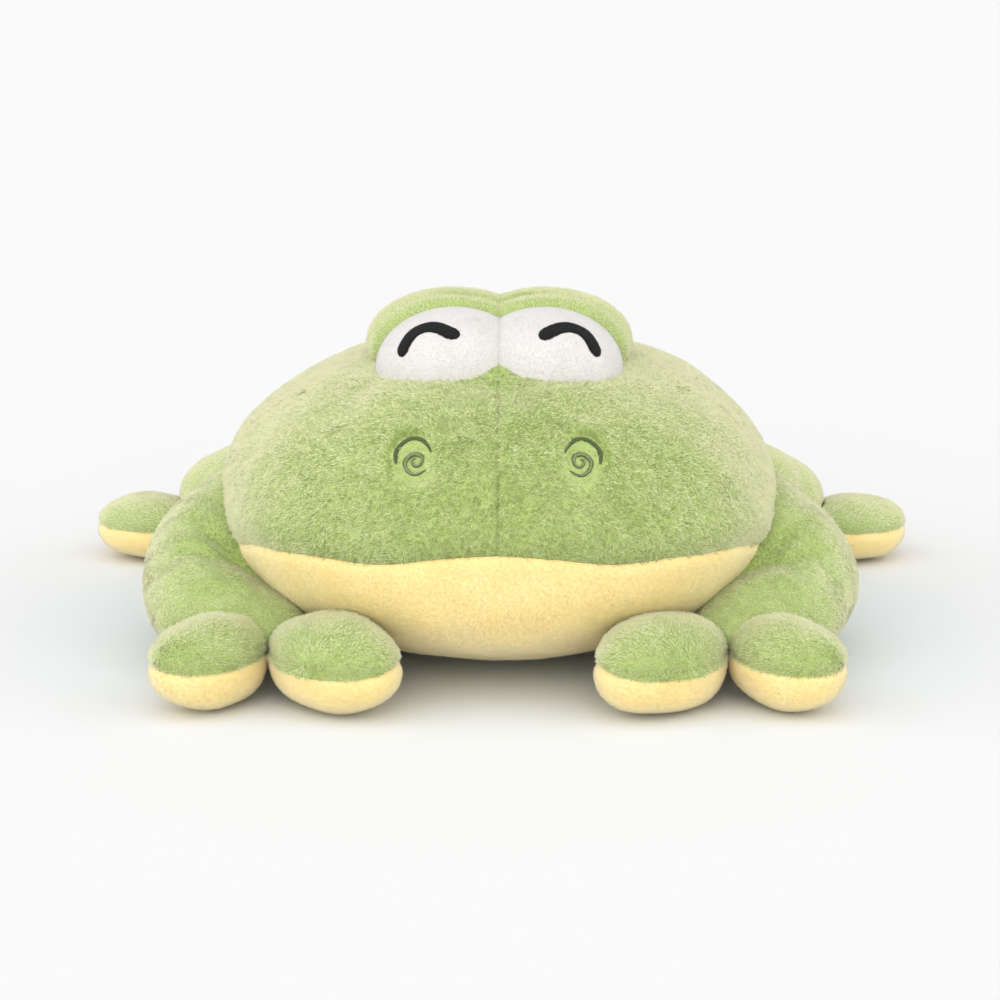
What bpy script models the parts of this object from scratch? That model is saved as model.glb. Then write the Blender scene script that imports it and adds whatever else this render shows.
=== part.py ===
# A plush frog that lies on its belly: one padded egg for head and body, two eyes that
# bulge under soft hoods, two bent arms and two splayed legs, each with two round toes.
# +Z is up, the face looks along -Y, and the frog's left is +X. Lengths are in metres.

import math
from typing import NamedTuple

import bmesh
import bpy
from mathutils import Euler, Matrix, Vector
from mathutils.bvhtree import BVHTree

MM = 0.001

# Fabric, thread and the clearances between sewn pieces
PILE_SKIN = 2.5 * MM
EYE_FABRIC = 1.6 * MM
SEAM_GAP = 0.3 * MM
FACET_MARGIN = 1.2 * MM
FLAT_DEPTH = 0.5 * MM
FLOOR_CLEARANCE = 1.0 * MM
STITCH_RISE = 1.0 * MM
CUT_REACH = 700 * MM
WELD_DISTANCE = 0.003 * MM

# Body and head, one egg whose underside is pressed flatter than its crown
BODY_HALF_WIDTH = 167 * MM
BODY_HALF_LENGTH = 185 * MM
BODY_EQUATOR = 83 * MM
BODY_RISE = 100 * MM
BELLY_BLUNT_SHARE = 0.86
MOUTH_HEIGHT = 51 * MM
MOUTH_FALL_SHARE = 0.213

# Eyes: white domes that meet at the middle, each under a padded hood
EYE_HALF_WIDTH = 39.5 * MM
EYE_HALF_DEPTH = 30 * MM
EYE_HALF_HEIGHT = 32.5 * MM
EYE_PRESS = 4 * MM
EYE_SINK = 3 * MM
EYE_FORWARD_SHARE = 0.29
HOOD_HALF_WIDTH = 49 * MM
HOOD_HALF_DEPTH = 36 * MM
HOOD_HALF_HEIGHT = 40.5 * MM
HOOD_INWARD = 4.5 * MM
HOOD_SETBACK = 14 * MM

# Smiling eye: an arc of satin stitch, as shares of the eye's half width and half height
SMILE_WIDTH = 6.2 * MM
SMILE_SHARES = ((0.53, 0.2), (0.46, 0.41), (0.33, 0.57), (0.06, 0.71), (-0.16, 0.65), (-0.3, 0.55))
SMILE_STEPS = 3

# Nostrils: a spiral and a brow of thick thread on the face
NOSTRIL_OUT_SHARE = 0.277
NOSTRIL_UP_SHARE = 0.52
SPIRAL_RADIUS = 5.9 * MM
SPIRAL_EYE = 1.1 * MM
SPIRAL_TURNS = 1.85
SPIRAL_START = math.radians(-150)
SPIRAL_THREAD = 1.5 * MM
SPIRAL_STEPS_A_TURN = 14
BROW_RADIUS = 10.2 * MM
BROW_FROM = math.radians(-8)
BROW_TO = math.radians(128)
BROW_THREAD = 1.4 * MM
BROW_STEPS = 8

# Arms, from the shoulder over the elbow to the wrist
ARM_SHOULDER_SHARES = (0.80, 0.03)
ARM_ELBOW_SHARES = (0.98, -0.29)
ARM_WRIST_SHARES = (0.70, -0.75)
ARM_SHOULDER_RISE = 94 * MM
ARM_ROOT_HALF_WIDTH = 38 * MM
ARM_ROOT_HALF_HEIGHT = 38 * MM
ARM_MID_HALF_WIDTH = 50 * MM
ARM_MID_HALF_HEIGHT = 42 * MM
ARM_END_HALF_WIDTH = 44 * MM
ARM_END_HALF_HEIGHT = 29 * MM
ARM_SOLE_HEIGHT = 12 * MM

LIMB_BLUNT_SHARE = 0.62

# Legs, from the hip over the knee to the ankle
LEG_HIP_SHARES = (0.60, 0.52)
LEG_KNEE_SHARES = (0.84, 0.70)
LEG_ANKLE_SHARES = (1.23, 0.97)
LEG_HIP_RISE = 52 * MM
LEG_ROOT_HALF_WIDTH = 38 * MM
LEG_ROOT_HALF_HEIGHT = 38 * MM
LEG_MID_HALF_WIDTH = 42 * MM
LEG_MID_HALF_HEIGHT = 44 * MM
LEG_END_HALF_WIDTH = 44 * MM
LEG_END_HALF_HEIGHT = 39 * MM
LEG_SOLE_HEIGHT = 12 * MM

# Toes, as half lengths, half widths and half heights, their places from the limb's end
ARM_OUTER_TOE_HALF_LENGTH = 42 * MM
ARM_OUTER_TOE_HALF_WIDTH = 30 * MM
ARM_OUTER_TOE_HALF_HEIGHT = 26 * MM
ARM_OUTER_TOE_REACH = 46 * MM
ARM_OUTER_TOE_BEARING = math.radians(65)
ARM_OUTER_TOE_TURN = math.radians(30)
ARM_INNER_TOE_HALF_LENGTH = 47 * MM
ARM_INNER_TOE_HALF_WIDTH = 33 * MM
ARM_INNER_TOE_HALF_HEIGHT = 27 * MM
ARM_INNER_TOE_REACH = 36 * MM
ARM_INNER_TOE_BEARING = math.radians(-49)
ARM_INNER_TOE_TURN = math.radians(-40)
LEG_OUTER_TOE_HALF_LENGTH = 39 * MM
LEG_OUTER_TOE_HALF_WIDTH = 33 * MM
LEG_OUTER_TOE_HALF_HEIGHT = 22 * MM
LEG_OUTER_TOE_REACH = 30 * MM
LEG_OUTER_TOE_BEARING = math.radians(59)
LEG_OUTER_TOE_TURN = math.radians(105)
LEG_INNER_TOE_HALF_LENGTH = 39 * MM
LEG_INNER_TOE_HALF_WIDTH = 33 * MM
LEG_INNER_TOE_HALF_HEIGHT = 22 * MM
LEG_INNER_TOE_REACH = 39 * MM
LEG_INNER_TOE_BEARING = math.radians(211)
LEG_INNER_TOE_TURN = math.radians(165)
TOE_SEAM_SHARE = 1.0

# Each limb swings on the top of its root seam, as shares of the body's half sizes and its rise
ARM_PIVOT_SHARES = (0.86, -0.12, 0.25)
LEG_PIVOT_SHARES = (0.66, 0.60, 0.10)

# Cages: segments round, rings from pole to pole, and the share by which the poles stand out less
BODY_CAGE_SEGMENTS = 16
BODY_CAGE_RINGS = 8
BODY_POLE_EASE_SHARE = 0.43
LIMB_CAGE_SEGMENTS = 8
LIMB_CAGE_RINGS = 5
TOE_CAGE_SEGMENTS = 7
TOE_CAGE_RINGS = 4
TOE_POLE_EASE_SHARE = 0.33
EYE_CAGE_SEGMENTS = 10
EYE_CAGE_RINGS = 6
EYE_POLE_EASE_SHARE = 0.4

# Colours as red, green and blue from 0 to 255
GREEN_PILE = (182, 198, 130)
YELLOW_PILE = (246, 224, 154)
WHITE_NAP = (248, 244, 240)
BLACK_THREAD = (50, 50, 50)
GREEN_THREAD = (96, 112, 84)
WADDING = (240, 240, 236)

SIDES = {"left": 1, "right": -1}


class Limb(NamedTuple):
    """An arm or a leg: three points on its middle line, and a half width and height at each."""

    points: tuple
    half_widths: tuple
    half_heights: tuple
    sole_height: float


class Toe(NamedTuple):
    half_length: float
    half_width: float
    half_height: float
    reach: float
    bearing: float
    turn: float


class Cage(NamedTuple):
    segments: int
    rings: int
    pole_ease_share: float = 0.0


def empty_scene():
    for obj in list(bpy.data.objects):
        bpy.data.objects.remove(obj, do_unlink=True)


def new_collection(name):
    collection = bpy.data.collections.new(name)
    bpy.context.scene.collection.children.link(collection)
    return collection


def linear(channel):
    share = channel / 255
    return share / 12.92 if share <= 0.04045 else ((share + 0.055) / 1.055) ** 2.4


def fabric(name, colour, roughness):
    material = bpy.data.materials.new(name)
    material.use_nodes = True
    shader = material.node_tree.nodes["Principled BSDF"]
    shader.inputs["Base Color"].default_value = (*map(linear, colour), 1)
    shader.inputs["Roughness"].default_value = roughness
    shader.inputs["Metallic"].default_value = 0
    return material


def pivot_empty(name, location, parent=None):
    """An empty that carries the pieces that turn, or stay, with it."""
    empty = bpy.data.objects.new(name, None)
    parts.objects.link(empty)
    empty.location = location
    if parent:
        empty.parent = parent
    return empty


def swell(cage, height_share):
    """How far out a cage's point stands, so that subdivision brings it in to the form itself.

    It stands out less towards the poles, which draw in less than the waist.
    """
    around = 0.75 + 0.25 * math.cos(2 * math.pi / cage.segments)
    along = 0.75 + 0.25 * math.cos(math.pi / cage.rings)
    waist = 1 / (around * along)
    return 1 + (waist - 1) * (1 - cage.pole_ease_share * height_share**2)


def form(name, place, cage, grow, smooth, parent=None, centre=(0, 0, 0), yaw=0.0):
    """A round form: each point of a unit sphere goes where place puts it, grown by grow.

    A smooth form is a coarse cage with a subdivision surface. A core is left faceted, a little
    further inside, so that its corners stay within the skin.
    """
    mesh = bpy.data.meshes.new(name)
    cage_mesh = bmesh.new()
    bmesh.ops.create_uvsphere(cage_mesh, u_segments=cage.segments, v_segments=cage.rings, radius=1)
    half_a_segment = Matrix.Rotation(math.pi / cage.segments, 4, "Z")
    bmesh.ops.transform(cage_mesh, matrix=half_a_segment, verts=cage_mesh.verts)
    if not smooth:
        grow -= FACET_MARGIN
    for vertex in cage_mesh.verts:
        unit = vertex.co.normalized()
        vertex.co = place(unit, grow, swell(cage, unit.z) if smooth else 1)
    for face in cage_mesh.faces:
        face.smooth = smooth
    cage_mesh.to_mesh(mesh)
    cage_mesh.free()
    obj = bpy.data.objects.new(name, mesh)
    if parent:
        obj.parent = parent
        obj.location = Vector(centre) - parent.matrix_world.translation
    else:
        obj.location = centre
    obj.rotation_euler = Euler((0, 0, yaw))
    if smooth:
        subdivision = obj.modifiers.new("Subdivision", "SUBSURF")
        subdivision.levels = 1
        subdivision.render_levels = 1
    # Forms of one cage split alike, so that a form and the same one grown a little stay apart.
    obj.modifiers.new("Triangulate", "TRIANGULATE").quad_method = "FIXED"
    return obj


def as_cutter(obj):
    cutters.objects.link(obj)
    obj.hide_render = True
    obj.display_type = "WIRE"
    return obj


def as_part(obj, material):
    parts.objects.link(obj)
    obj.data.materials.append(material)
    return obj


def boolean(obj, cutter, operation="DIFFERENCE"):
    """A Boolean with the MANIFOLD solver, as EXACT loses some of these nested, nearly parallel forms."""
    modifier = obj.modifiers.new(f"{operation.title()} {cutter.name}", "BOOLEAN")
    modifier.operation = operation
    modifier.solver = "MANIFOLD"
    modifier.object = cutter


def cut(obj, *others):
    for other in others:
        boolean(obj, other)


def half_space(name, point, normal):
    """A block as large as any cut, on the side of the plane that the normal points to."""
    mesh = bpy.data.meshes.new(name)
    block = bmesh.new()
    bmesh.ops.create_cube(block, size=2 * CUT_REACH)
    block.to_mesh(mesh)
    block.free()
    obj = as_cutter(bpy.data.objects.new(name, mesh))
    direction = Vector(normal).normalized()
    obj.rotation_mode = "QUATERNION"
    obj.rotation_quaternion = direction.to_track_quat("Z", "Y")
    obj.location = Vector(point) + CUT_REACH * direction
    return obj


def body_place(unit, grow, factor):
    """The egg: an ellipsoid above its equator, and a blunter, flatter one below."""
    if unit.z >= 0:
        flat, height = 1.0, (BODY_RISE + grow) * unit.z
    else:
        round_share = math.hypot(unit.x, unit.y)
        flat = round_share ** (BELLY_BLUNT_SHARE - 1) if round_share > 0 else 1.0
        height = -(BODY_EQUATOR + FLAT_DEPTH + grow) * (-unit.z) ** BELLY_BLUNT_SHARE
    x = (BODY_HALF_WIDTH + grow) * unit.x * flat
    y = (BODY_HALF_LENGTH + grow) * unit.y * flat
    return Vector((factor * x, factor * y, BODY_EQUATOR + factor * height))


def body_crown(x, y):
    """How high the egg's upper surface is at x and y."""
    across = x / BODY_HALF_WIDTH
    along = y / BODY_HALF_LENGTH
    return BODY_EQUATOR + BODY_RISE * math.sqrt(1 - across**2 - along**2)


def clearance_surface():
    """The body's surface, a seam gap out, as a tree that tells where a line from the front meets it."""
    bpy.context.view_layer.update()
    return BVHTree.FromObject(body_clearance, bpy.context.evaluated_depsgraph_get())


def on_face(surface, x, z, lift):
    """The point that is seen from the front at x and z, lifted off the face."""
    spot, normal, _, _ = surface.ray_cast(Vector((x, -CUT_REACH, z)), Vector((0, 1, 0)))
    return spot + lift * normal


def ellipsoid(half_x, half_y, half_z):
    def place(unit, grow, factor):
        x = (half_x + grow) * unit.x
        y = (half_y + grow) * unit.y
        z = (half_z + grow) * unit.z
        return factor * Vector((x, y, z))

    return place


def through_three(values, t):
    """The parabola that passes through three values at t of 0, one half and 1."""
    first, middle, last = values
    return first * (2 * t - 1) * (t - 1) + middle * 4 * t * (1 - t) + last * t * (2 * t - 1)


def slope_three(values, t):
    first, middle, last = values
    return first * (4 * t - 3) + middle * (4 - 8 * t) + last * (4 * t - 1)


def limb_place(limb, pivot):
    """A bent sausage, in the pivot's frame: blunt ends, and a width and height that swell and taper."""
    points = [point - pivot for point in limb.points]

    def place(unit, grow, factor):
        t = (1 + unit.z) / 2
        middle = through_three(points, t)
        forward = slope_three(points, t).normalized()
        aside = Vector((0, 0, 1)).cross(forward).normalized()
        upward = forward.cross(aside)
        width = through_three(limb.half_widths, t) + grow
        height = through_three(limb.half_heights, t) + grow
        round_share = math.hypot(unit.x, unit.y)
        blunt = round_share ** (LIMB_BLUNT_SHARE - 1) if round_share > 0 else 1.0
        offset = aside * width * unit.x + upward * height * unit.y
        return middle + forward * unit.z * grow + factor * blunt * offset

    return place


def on_floor(shares, half_height):
    """A point of a limb's middle line, low enough for that half height to clear the floor."""
    across, along = shares
    return Vector((across * BODY_HALF_WIDTH, along * BODY_HALF_LENGTH, half_height + FLOOR_CLEARANCE))


def on_root(shares, rise):
    """The first point of a limb's middle line, inside the body."""
    across, along = shares
    return Vector((across * BODY_HALF_WIDTH, along * BODY_HALF_LENGTH, rise))


def pivot_point(shares):
    across, along, up = shares
    return Vector((across * BODY_HALF_WIDTH, along * BODY_HALF_LENGTH, BODY_EQUATOR + up * BODY_RISE))


body_cage = Cage(BODY_CAGE_SEGMENTS, BODY_CAGE_RINGS, BODY_POLE_EASE_SHARE)
limb_cage = Cage(LIMB_CAGE_SEGMENTS, LIMB_CAGE_RINGS)
toe_cage = Cage(TOE_CAGE_SEGMENTS, TOE_CAGE_RINGS, TOE_POLE_EASE_SHARE)
eye_cage = Cage(EYE_CAGE_SEGMENTS, EYE_CAGE_RINGS, EYE_POLE_EASE_SHARE)
ARM = Limb(
    points=(
        on_root(ARM_SHOULDER_SHARES, ARM_SHOULDER_RISE),
        on_floor(ARM_ELBOW_SHARES, ARM_MID_HALF_HEIGHT),
        on_floor(ARM_WRIST_SHARES, ARM_END_HALF_HEIGHT),
    ),
    half_widths=(ARM_ROOT_HALF_WIDTH, ARM_MID_HALF_WIDTH, ARM_END_HALF_WIDTH),
    half_heights=(ARM_ROOT_HALF_HEIGHT, ARM_MID_HALF_HEIGHT, ARM_END_HALF_HEIGHT),
    sole_height=ARM_SOLE_HEIGHT,
)
LEG = Limb(
    points=(
        on_root(LEG_HIP_SHARES, LEG_HIP_RISE),
        on_floor(LEG_KNEE_SHARES, LEG_MID_HALF_HEIGHT),
        on_floor(LEG_ANKLE_SHARES, LEG_END_HALF_HEIGHT),
    ),
    half_widths=(LEG_ROOT_HALF_WIDTH, LEG_MID_HALF_WIDTH, LEG_END_HALF_WIDTH),
    half_heights=(LEG_ROOT_HALF_HEIGHT, LEG_MID_HALF_HEIGHT, LEG_END_HALF_HEIGHT),
    sole_height=LEG_SOLE_HEIGHT,
)
ARM_TOES = {
    "inner": Toe(
        ARM_INNER_TOE_HALF_LENGTH,
        ARM_INNER_TOE_HALF_WIDTH,
        ARM_INNER_TOE_HALF_HEIGHT,
        ARM_INNER_TOE_REACH,
        ARM_INNER_TOE_BEARING,
        ARM_INNER_TOE_TURN,
    ),
    "outer": Toe(
        ARM_OUTER_TOE_HALF_LENGTH,
        ARM_OUTER_TOE_HALF_WIDTH,
        ARM_OUTER_TOE_HALF_HEIGHT,
        ARM_OUTER_TOE_REACH,
        ARM_OUTER_TOE_BEARING,
        ARM_OUTER_TOE_TURN,
    ),
}
LEG_TOES = {
    "inner": Toe(
        LEG_INNER_TOE_HALF_LENGTH,
        LEG_INNER_TOE_HALF_WIDTH,
        LEG_INNER_TOE_HALF_HEIGHT,
        LEG_INNER_TOE_REACH,
        LEG_INNER_TOE_BEARING,
        LEG_INNER_TOE_TURN,
    ),
    "outer": Toe(
        LEG_OUTER_TOE_HALF_LENGTH,
        LEG_OUTER_TOE_HALF_WIDTH,
        LEG_OUTER_TOE_HALF_HEIGHT,
        LEG_OUTER_TOE_REACH,
        LEG_OUTER_TOE_BEARING,
        LEG_OUTER_TOE_TURN,
    ),
}


def make_body():
    """Two back panels that meet along the spine, the belly panel, and the wadding inside."""
    core = as_cutter(form("body_core", body_place, body_cage, -PILE_SKIN, smooth=False))
    half_gap = SEAM_GAP / 2
    seam_normal = Vector((0, MOUTH_FALL_SHARE, 1))
    above = half_space("above_mouth", (0, 0, MOUTH_HEIGHT - half_gap), seam_normal)
    below = half_space("below_mouth", (0, 0, MOUTH_HEIGHT + half_gap), -seam_normal)
    for side_name, side in SIDES.items():
        panel = form(f"back_{side_name}_skin", body_place, body_cage, 0, smooth=True, parent=frog)
        as_part(panel, green_pile)
        other_side = half_space(f"not_{side_name}", (side * half_gap, 0, 0), (-side, 0, 0))
        cut(panel, below, other_side, core)
    belly = form("belly_skin", body_place, body_cage, 0, smooth=True, parent=frog)
    as_part(belly, yellow_pile)
    cut(belly, above, floor, core)
    wadding_depth = PILE_SKIN + SEAM_GAP
    as_part(form("body_stuffing", body_place, body_cage, -wadding_depth, False, parent=frog), wadding)


def stitched_arc(name, points, thickness, parent):
    """A run of thread: a round tube along the points, as a mesh with closed ends."""
    curve = bpy.data.curves.new(name, "CURVE")
    curve.dimensions = "3D"
    curve.bevel_depth = thickness / 2
    curve.bevel_resolution = 1
    curve.use_fill_caps = True
    spline = curve.splines.new("POLY")
    spline.points.add(len(points) - 1)
    for spot, point in zip(spline.points, points):
        spot.co = (*(point - parent.matrix_world.translation), 1)
    obj = bpy.data.objects.new(name, curve)
    obj.parent = parent
    return obj


def as_mesh(obj, collection):
    """The curve as a mesh object with its caps welded on, in the curve's place."""
    collection.objects.link(obj)
    bpy.context.view_layer.update()
    graph = bpy.context.evaluated_depsgraph_get()
    mesh = bpy.data.meshes.new_from_object(obj.evaluated_get(graph))
    welded = bmesh.new()
    welded.from_mesh(mesh)
    bmesh.ops.remove_doubles(welded, verts=welded.verts, dist=WELD_DISTANCE)
    bmesh.ops.recalc_face_normals(welded, faces=welded.faces)
    welded.to_mesh(mesh)
    welded.free()
    name, parent, matrix = obj.name, obj.parent, obj.matrix_world.copy()
    bpy.data.objects.remove(obj)
    solid = bpy.data.objects.new(name, mesh)
    solid.parent = parent
    collection.objects.link(solid)
    solid.matrix_world = matrix
    return solid


def smoothed(points, steps):
    """Points on a smooth curve through the given ones."""
    padded = [2 * points[0] - points[1], *points, 2 * points[-1] - points[-2]]
    found = [points[0]]
    for before, start, end, after in zip(padded, padded[1:], padded[2:], padded[3:]):
        for step in range(1, steps + 1):
            t = step / steps
            found.append(
                0.5
                * (
                    2 * start
                    + (end - before) * t
                    + (2 * before - 5 * start + 4 * end - after) * t**2
                    + (3 * start - before - 3 * end + after) * t**3
                )
            )
    return found


def make_eye(side_name, side):
    """A white dome with its wadding, the hood behind and over it, and its stitched smile."""
    across = side * (EYE_HALF_WIDTH - EYE_PRESS)
    along = -EYE_FORWARD_SHARE * BODY_HALF_LENGTH
    centre = Vector((across, along, body_crown(across, along) - EYE_SINK))
    dome = ellipsoid(EYE_HALF_WIDTH, EYE_HALF_DEPTH, EYE_HALF_HEIGHT)
    other_side = bpy.data.objects[f"not_{side_name}"]
    carried = {"parent": frog, "centre": centre}

    core = as_cutter(form(f"{side_name}_eye_core", dome, eye_cage, -EYE_FABRIC, False, **carried))
    white = as_part(form(f"{side_name}_eye_white", dome, eye_cage, 0, True, **carried), white_nap)
    cut(white, other_side, body_clearance, core)
    wadding_depth = EYE_FABRIC + SEAM_GAP
    stuffing = form(f"{side_name}_eye_stuffing", dome, eye_cage, -wadding_depth, False, **carried)
    as_part(stuffing, wadding)
    cut(stuffing, other_side, body_clearance)

    under_hood = as_cutter(form(f"{side_name}_eye_clearance", dome, eye_cage, SEAM_GAP, True, **carried))
    hood_centre = centre + Vector((-side * HOOD_INWARD, HOOD_SETBACK, 0))
    hood_form = ellipsoid(HOOD_HALF_WIDTH, HOOD_HALF_DEPTH, HOOD_HALF_HEIGHT)
    hood = form(f"{side_name}_eye_hood", hood_form, eye_cage, 0, True, parent=frog, centre=hood_centre)
    as_part(hood, green_pile)
    cut(hood, other_side, body_clearance, under_hood)

    spots = []
    for share_x, share_z in SMILE_SHARES:
        depth = -EYE_HALF_DEPTH * math.sqrt(1 - share_x**2 - share_z**2)
        on_dome = Vector((side * share_x * EYE_HALF_WIDTH, depth, share_z * EYE_HALF_HEIGHT))
        spots.append(centre + on_dome)
    arc = stitched_arc(f"{side_name}_eye_smile", smoothed(spots, SMILE_STEPS), SMILE_WIDTH, frog)
    smile = as_mesh(arc, parts)
    smile.data.materials.append(black_thread)
    stitch_top = form(f"{side_name}_smile_top", dome, eye_cage, SEAM_GAP + STITCH_RISE, True, **carried)
    boolean(smile, as_cutter(stitch_top), "INTERSECT")
    cut(smile, under_hood)


def make_nostril(side_name, side):
    """A spiral of thread in the nostril, and a brow of thread round its upper rim."""
    middle_x = NOSTRIL_OUT_SHARE * BODY_HALF_WIDTH
    middle_z = BODY_EQUATOR + NOSTRIL_UP_SHARE * BODY_RISE
    surface = clearance_surface()

    def stitch(name, radii_and_angles, thickness):
        points = []
        for radius, angle in radii_and_angles:
            x = side * (middle_x + radius * math.cos(angle))
            z = middle_z + radius * math.sin(angle)
            points.append(on_face(surface, x, z, thickness / 2))
        thread = as_mesh(stitched_arc(name, points, thickness, frog), parts)
        thread.data.materials.append(green_thread)

    steps = math.ceil(SPIRAL_TURNS * SPIRAL_STEPS_A_TURN)
    spiral = [
        (
            SPIRAL_RADIUS + (SPIRAL_EYE - SPIRAL_RADIUS) * step / steps,
            SPIRAL_START + 2 * math.pi * SPIRAL_TURNS * step / steps,
        )
        for step in range(steps + 1)
    ]
    stitch(f"{side_name}_nostril_spiral", spiral, SPIRAL_THREAD)
    brow = [
        (BROW_RADIUS, BROW_FROM + (BROW_TO - BROW_FROM) * step / BROW_STEPS)
        for step in range(BROW_STEPS + 1)
    ]
    stitch(f"{side_name}_nostril_brow", brow, BROW_THREAD)


def make_limb(limb_name, side, limb, hinge, toes):
    """The limb's upper skin, sole and wadding, then its two toes, all on the limb's pivot."""
    hinge = Vector((side * hinge.x, hinge.y, hinge.z))
    pivot = pivot_empty(f"{limb_name}_pivot", hinge, frog)
    bpy.context.view_layer.update()
    points = tuple(Vector((side * point.x, point.y, point.z)) for point in limb.points)
    place = limb_place(limb._replace(points=points), hinge)
    carried = {"parent": pivot, "centre": hinge}

    core = as_cutter(form(f"{limb_name}_core", place, limb_cage, -PILE_SKIN, True, **carried))
    half_gap = SEAM_GAP / 2
    above = half_space(f"above_{limb_name}_seam", (0, 0, limb.sole_height - half_gap), (0, 0, 1))
    below = half_space(f"below_{limb_name}_seam", (0, 0, limb.sole_height + half_gap), (0, 0, -1))
    upper = as_part(form(f"{limb_name}_upper_skin", place, limb_cage, 0, True, **carried), green_pile)
    cut(upper, below, body_clearance, core)
    sole = as_part(form(f"{limb_name}_sole_skin", place, limb_cage, 0, True, **carried), yellow_pile)
    cut(sole, above, body_clearance, core)
    wadding_depth = PILE_SKIN + SEAM_GAP
    stuffing = form(f"{limb_name}_stuffing", place, limb_cage, -wadding_depth, True, **carried)
    as_part(stuffing, wadding)
    cut(stuffing, body_clearance)

    behind = [as_cutter(form(f"{limb_name}_clearance", place, limb_cage, SEAM_GAP, True, **carried))]
    behind.append(body_clearance)
    for toe_name, toe in toes.items():
        behind.append(make_toe(f"{limb_name}_{toe_name}_toe", side, toe, points[-1], pivot, behind))


def make_toe(toe_name, side, toe, limb_end, pivot, behind):
    """A toe's top, sole and wadding, cut by all that is behind it. Returns its own clearance."""
    away = Vector((side * math.sin(toe.bearing), -math.cos(toe.bearing), 0))
    centre = Vector((limb_end.x, limb_end.y, toe.half_height - FLAT_DEPTH)) + toe.reach * away
    place = ellipsoid(toe.half_width, toe.half_length, toe.half_height)
    carried = {"parent": pivot, "centre": centre, "yaw": side * toe.turn}
    core = as_cutter(form(f"{toe_name}_core", place, toe_cage, -PILE_SKIN, False, **carried))
    seam = TOE_SEAM_SHARE * centre.z
    half_gap = SEAM_GAP / 2
    above = half_space(f"above_{toe_name}_seam", (0, 0, seam - half_gap), (0, 0, 1))
    below = half_space(f"below_{toe_name}_seam", (0, 0, seam + half_gap), (0, 0, -1))
    top = as_part(form(f"{toe_name}_top_skin", place, toe_cage, 0, True, **carried), green_pile)
    cut(top, below, *behind, core)
    sole = as_part(form(f"{toe_name}_sole_skin", place, toe_cage, 0, True, **carried), yellow_pile)
    cut(sole, above, floor, *behind, core)
    wadding_depth = PILE_SKIN + SEAM_GAP
    stuffing = form(f"{toe_name}_stuffing", place, toe_cage, -wadding_depth, False, **carried)
    as_part(stuffing, wadding)
    cut(stuffing, *behind)
    return as_cutter(form(f"{toe_name}_clearance", place, toe_cage, SEAM_GAP, True, **carried))


empty_scene()
parts = new_collection("plush_frog")
cutters = new_collection("cutters")
green_pile = fabric("green_pile", GREEN_PILE, 0.95)
yellow_pile = fabric("yellow_pile", YELLOW_PILE, 0.95)
white_nap = fabric("white_nap", WHITE_NAP, 0.9)
black_thread = fabric("black_thread", BLACK_THREAD, 0.6)
green_thread = fabric("green_thread", GREEN_THREAD, 0.7)
wadding = fabric("wadding", WADDING, 1.0)

frog = pivot_empty("frog", (0, 0, 0))
floor = half_space("floor", (0, 0, 0), (0, 0, -1))
body_clearance = as_cutter(form("body_clearance", body_place, body_cage, SEAM_GAP, True, parent=frog))
make_body()
arm_pivot = pivot_point(ARM_PIVOT_SHARES)
leg_pivot = pivot_point(LEG_PIVOT_SHARES)
for side_name, side in SIDES.items():
    make_eye(side_name, side)
    make_nostril(side_name, side)
    make_limb(f"{side_name}_arm", side, ARM, arm_pivot, ARM_TOES)
    make_limb(f"{side_name}_leg", side, LEG, leg_pivot, LEG_TOES)
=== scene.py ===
import math

import bmesh
import bpy
import numpy as np
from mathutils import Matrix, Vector


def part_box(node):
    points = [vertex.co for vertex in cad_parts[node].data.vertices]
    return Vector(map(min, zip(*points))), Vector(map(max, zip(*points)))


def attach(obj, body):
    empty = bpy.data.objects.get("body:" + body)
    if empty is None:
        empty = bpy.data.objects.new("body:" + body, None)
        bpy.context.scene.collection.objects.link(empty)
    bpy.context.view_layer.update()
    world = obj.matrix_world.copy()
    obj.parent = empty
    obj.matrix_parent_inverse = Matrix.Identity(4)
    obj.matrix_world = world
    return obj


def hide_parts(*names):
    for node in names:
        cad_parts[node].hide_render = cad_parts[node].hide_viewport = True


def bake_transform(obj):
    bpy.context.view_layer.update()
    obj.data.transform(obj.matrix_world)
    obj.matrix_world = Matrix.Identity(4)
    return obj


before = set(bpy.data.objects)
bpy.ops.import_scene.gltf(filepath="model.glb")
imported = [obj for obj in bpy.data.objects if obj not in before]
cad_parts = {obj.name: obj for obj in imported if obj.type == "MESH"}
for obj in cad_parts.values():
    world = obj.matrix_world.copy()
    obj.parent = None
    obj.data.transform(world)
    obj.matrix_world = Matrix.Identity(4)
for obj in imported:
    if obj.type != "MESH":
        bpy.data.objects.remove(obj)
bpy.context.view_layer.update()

mm = 0.001
sides = {"left": 1, "right": -1}


# What repeats: colours, nodes and smooth unevenness

def linearColour(hexCode):
    channels = [int(hexCode[place:place + 2], 16) / 255 for place in (1, 3, 5)]
    return (*(c / 12.92 if c <= 0.04045 else ((c + 0.055) / 1.055) ** 2.4 for c in channels), 1)


def addNode(tree, kind, settings=None, inputs=None, stops=()):
    node = tree.nodes.new(kind)
    for name, value in (settings or {}).items():
        setattr(node, name, value)
    for name, value in (inputs or {}).items():
        if isinstance(value, tuple) and isinstance(value[0], bpy.types.Node):
            tree.links.new(value[0].outputs[value[1]], node.inputs[name])
        else:
            node.inputs[name].default_value = value
    if stops:  # a ramp's places and colours
        elements = node.color_ramp.elements
        while len(elements) < len(stops):
            elements.new(0.5)
        for element, (place, hexCode) in zip(elements, stops):
            element.position = place
            element.color = linearColour(hexCode)
    return node


def linkObject(name, mesh):
    obj = bpy.data.objects.new(name, mesh)
    bpy.context.scene.collection.objects.link(obj)
    return obj


def unitRows(vectors):
    return vectors / np.linalg.norm(vectors, axis=1, keepdims=True).clip(1e-9)


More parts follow.
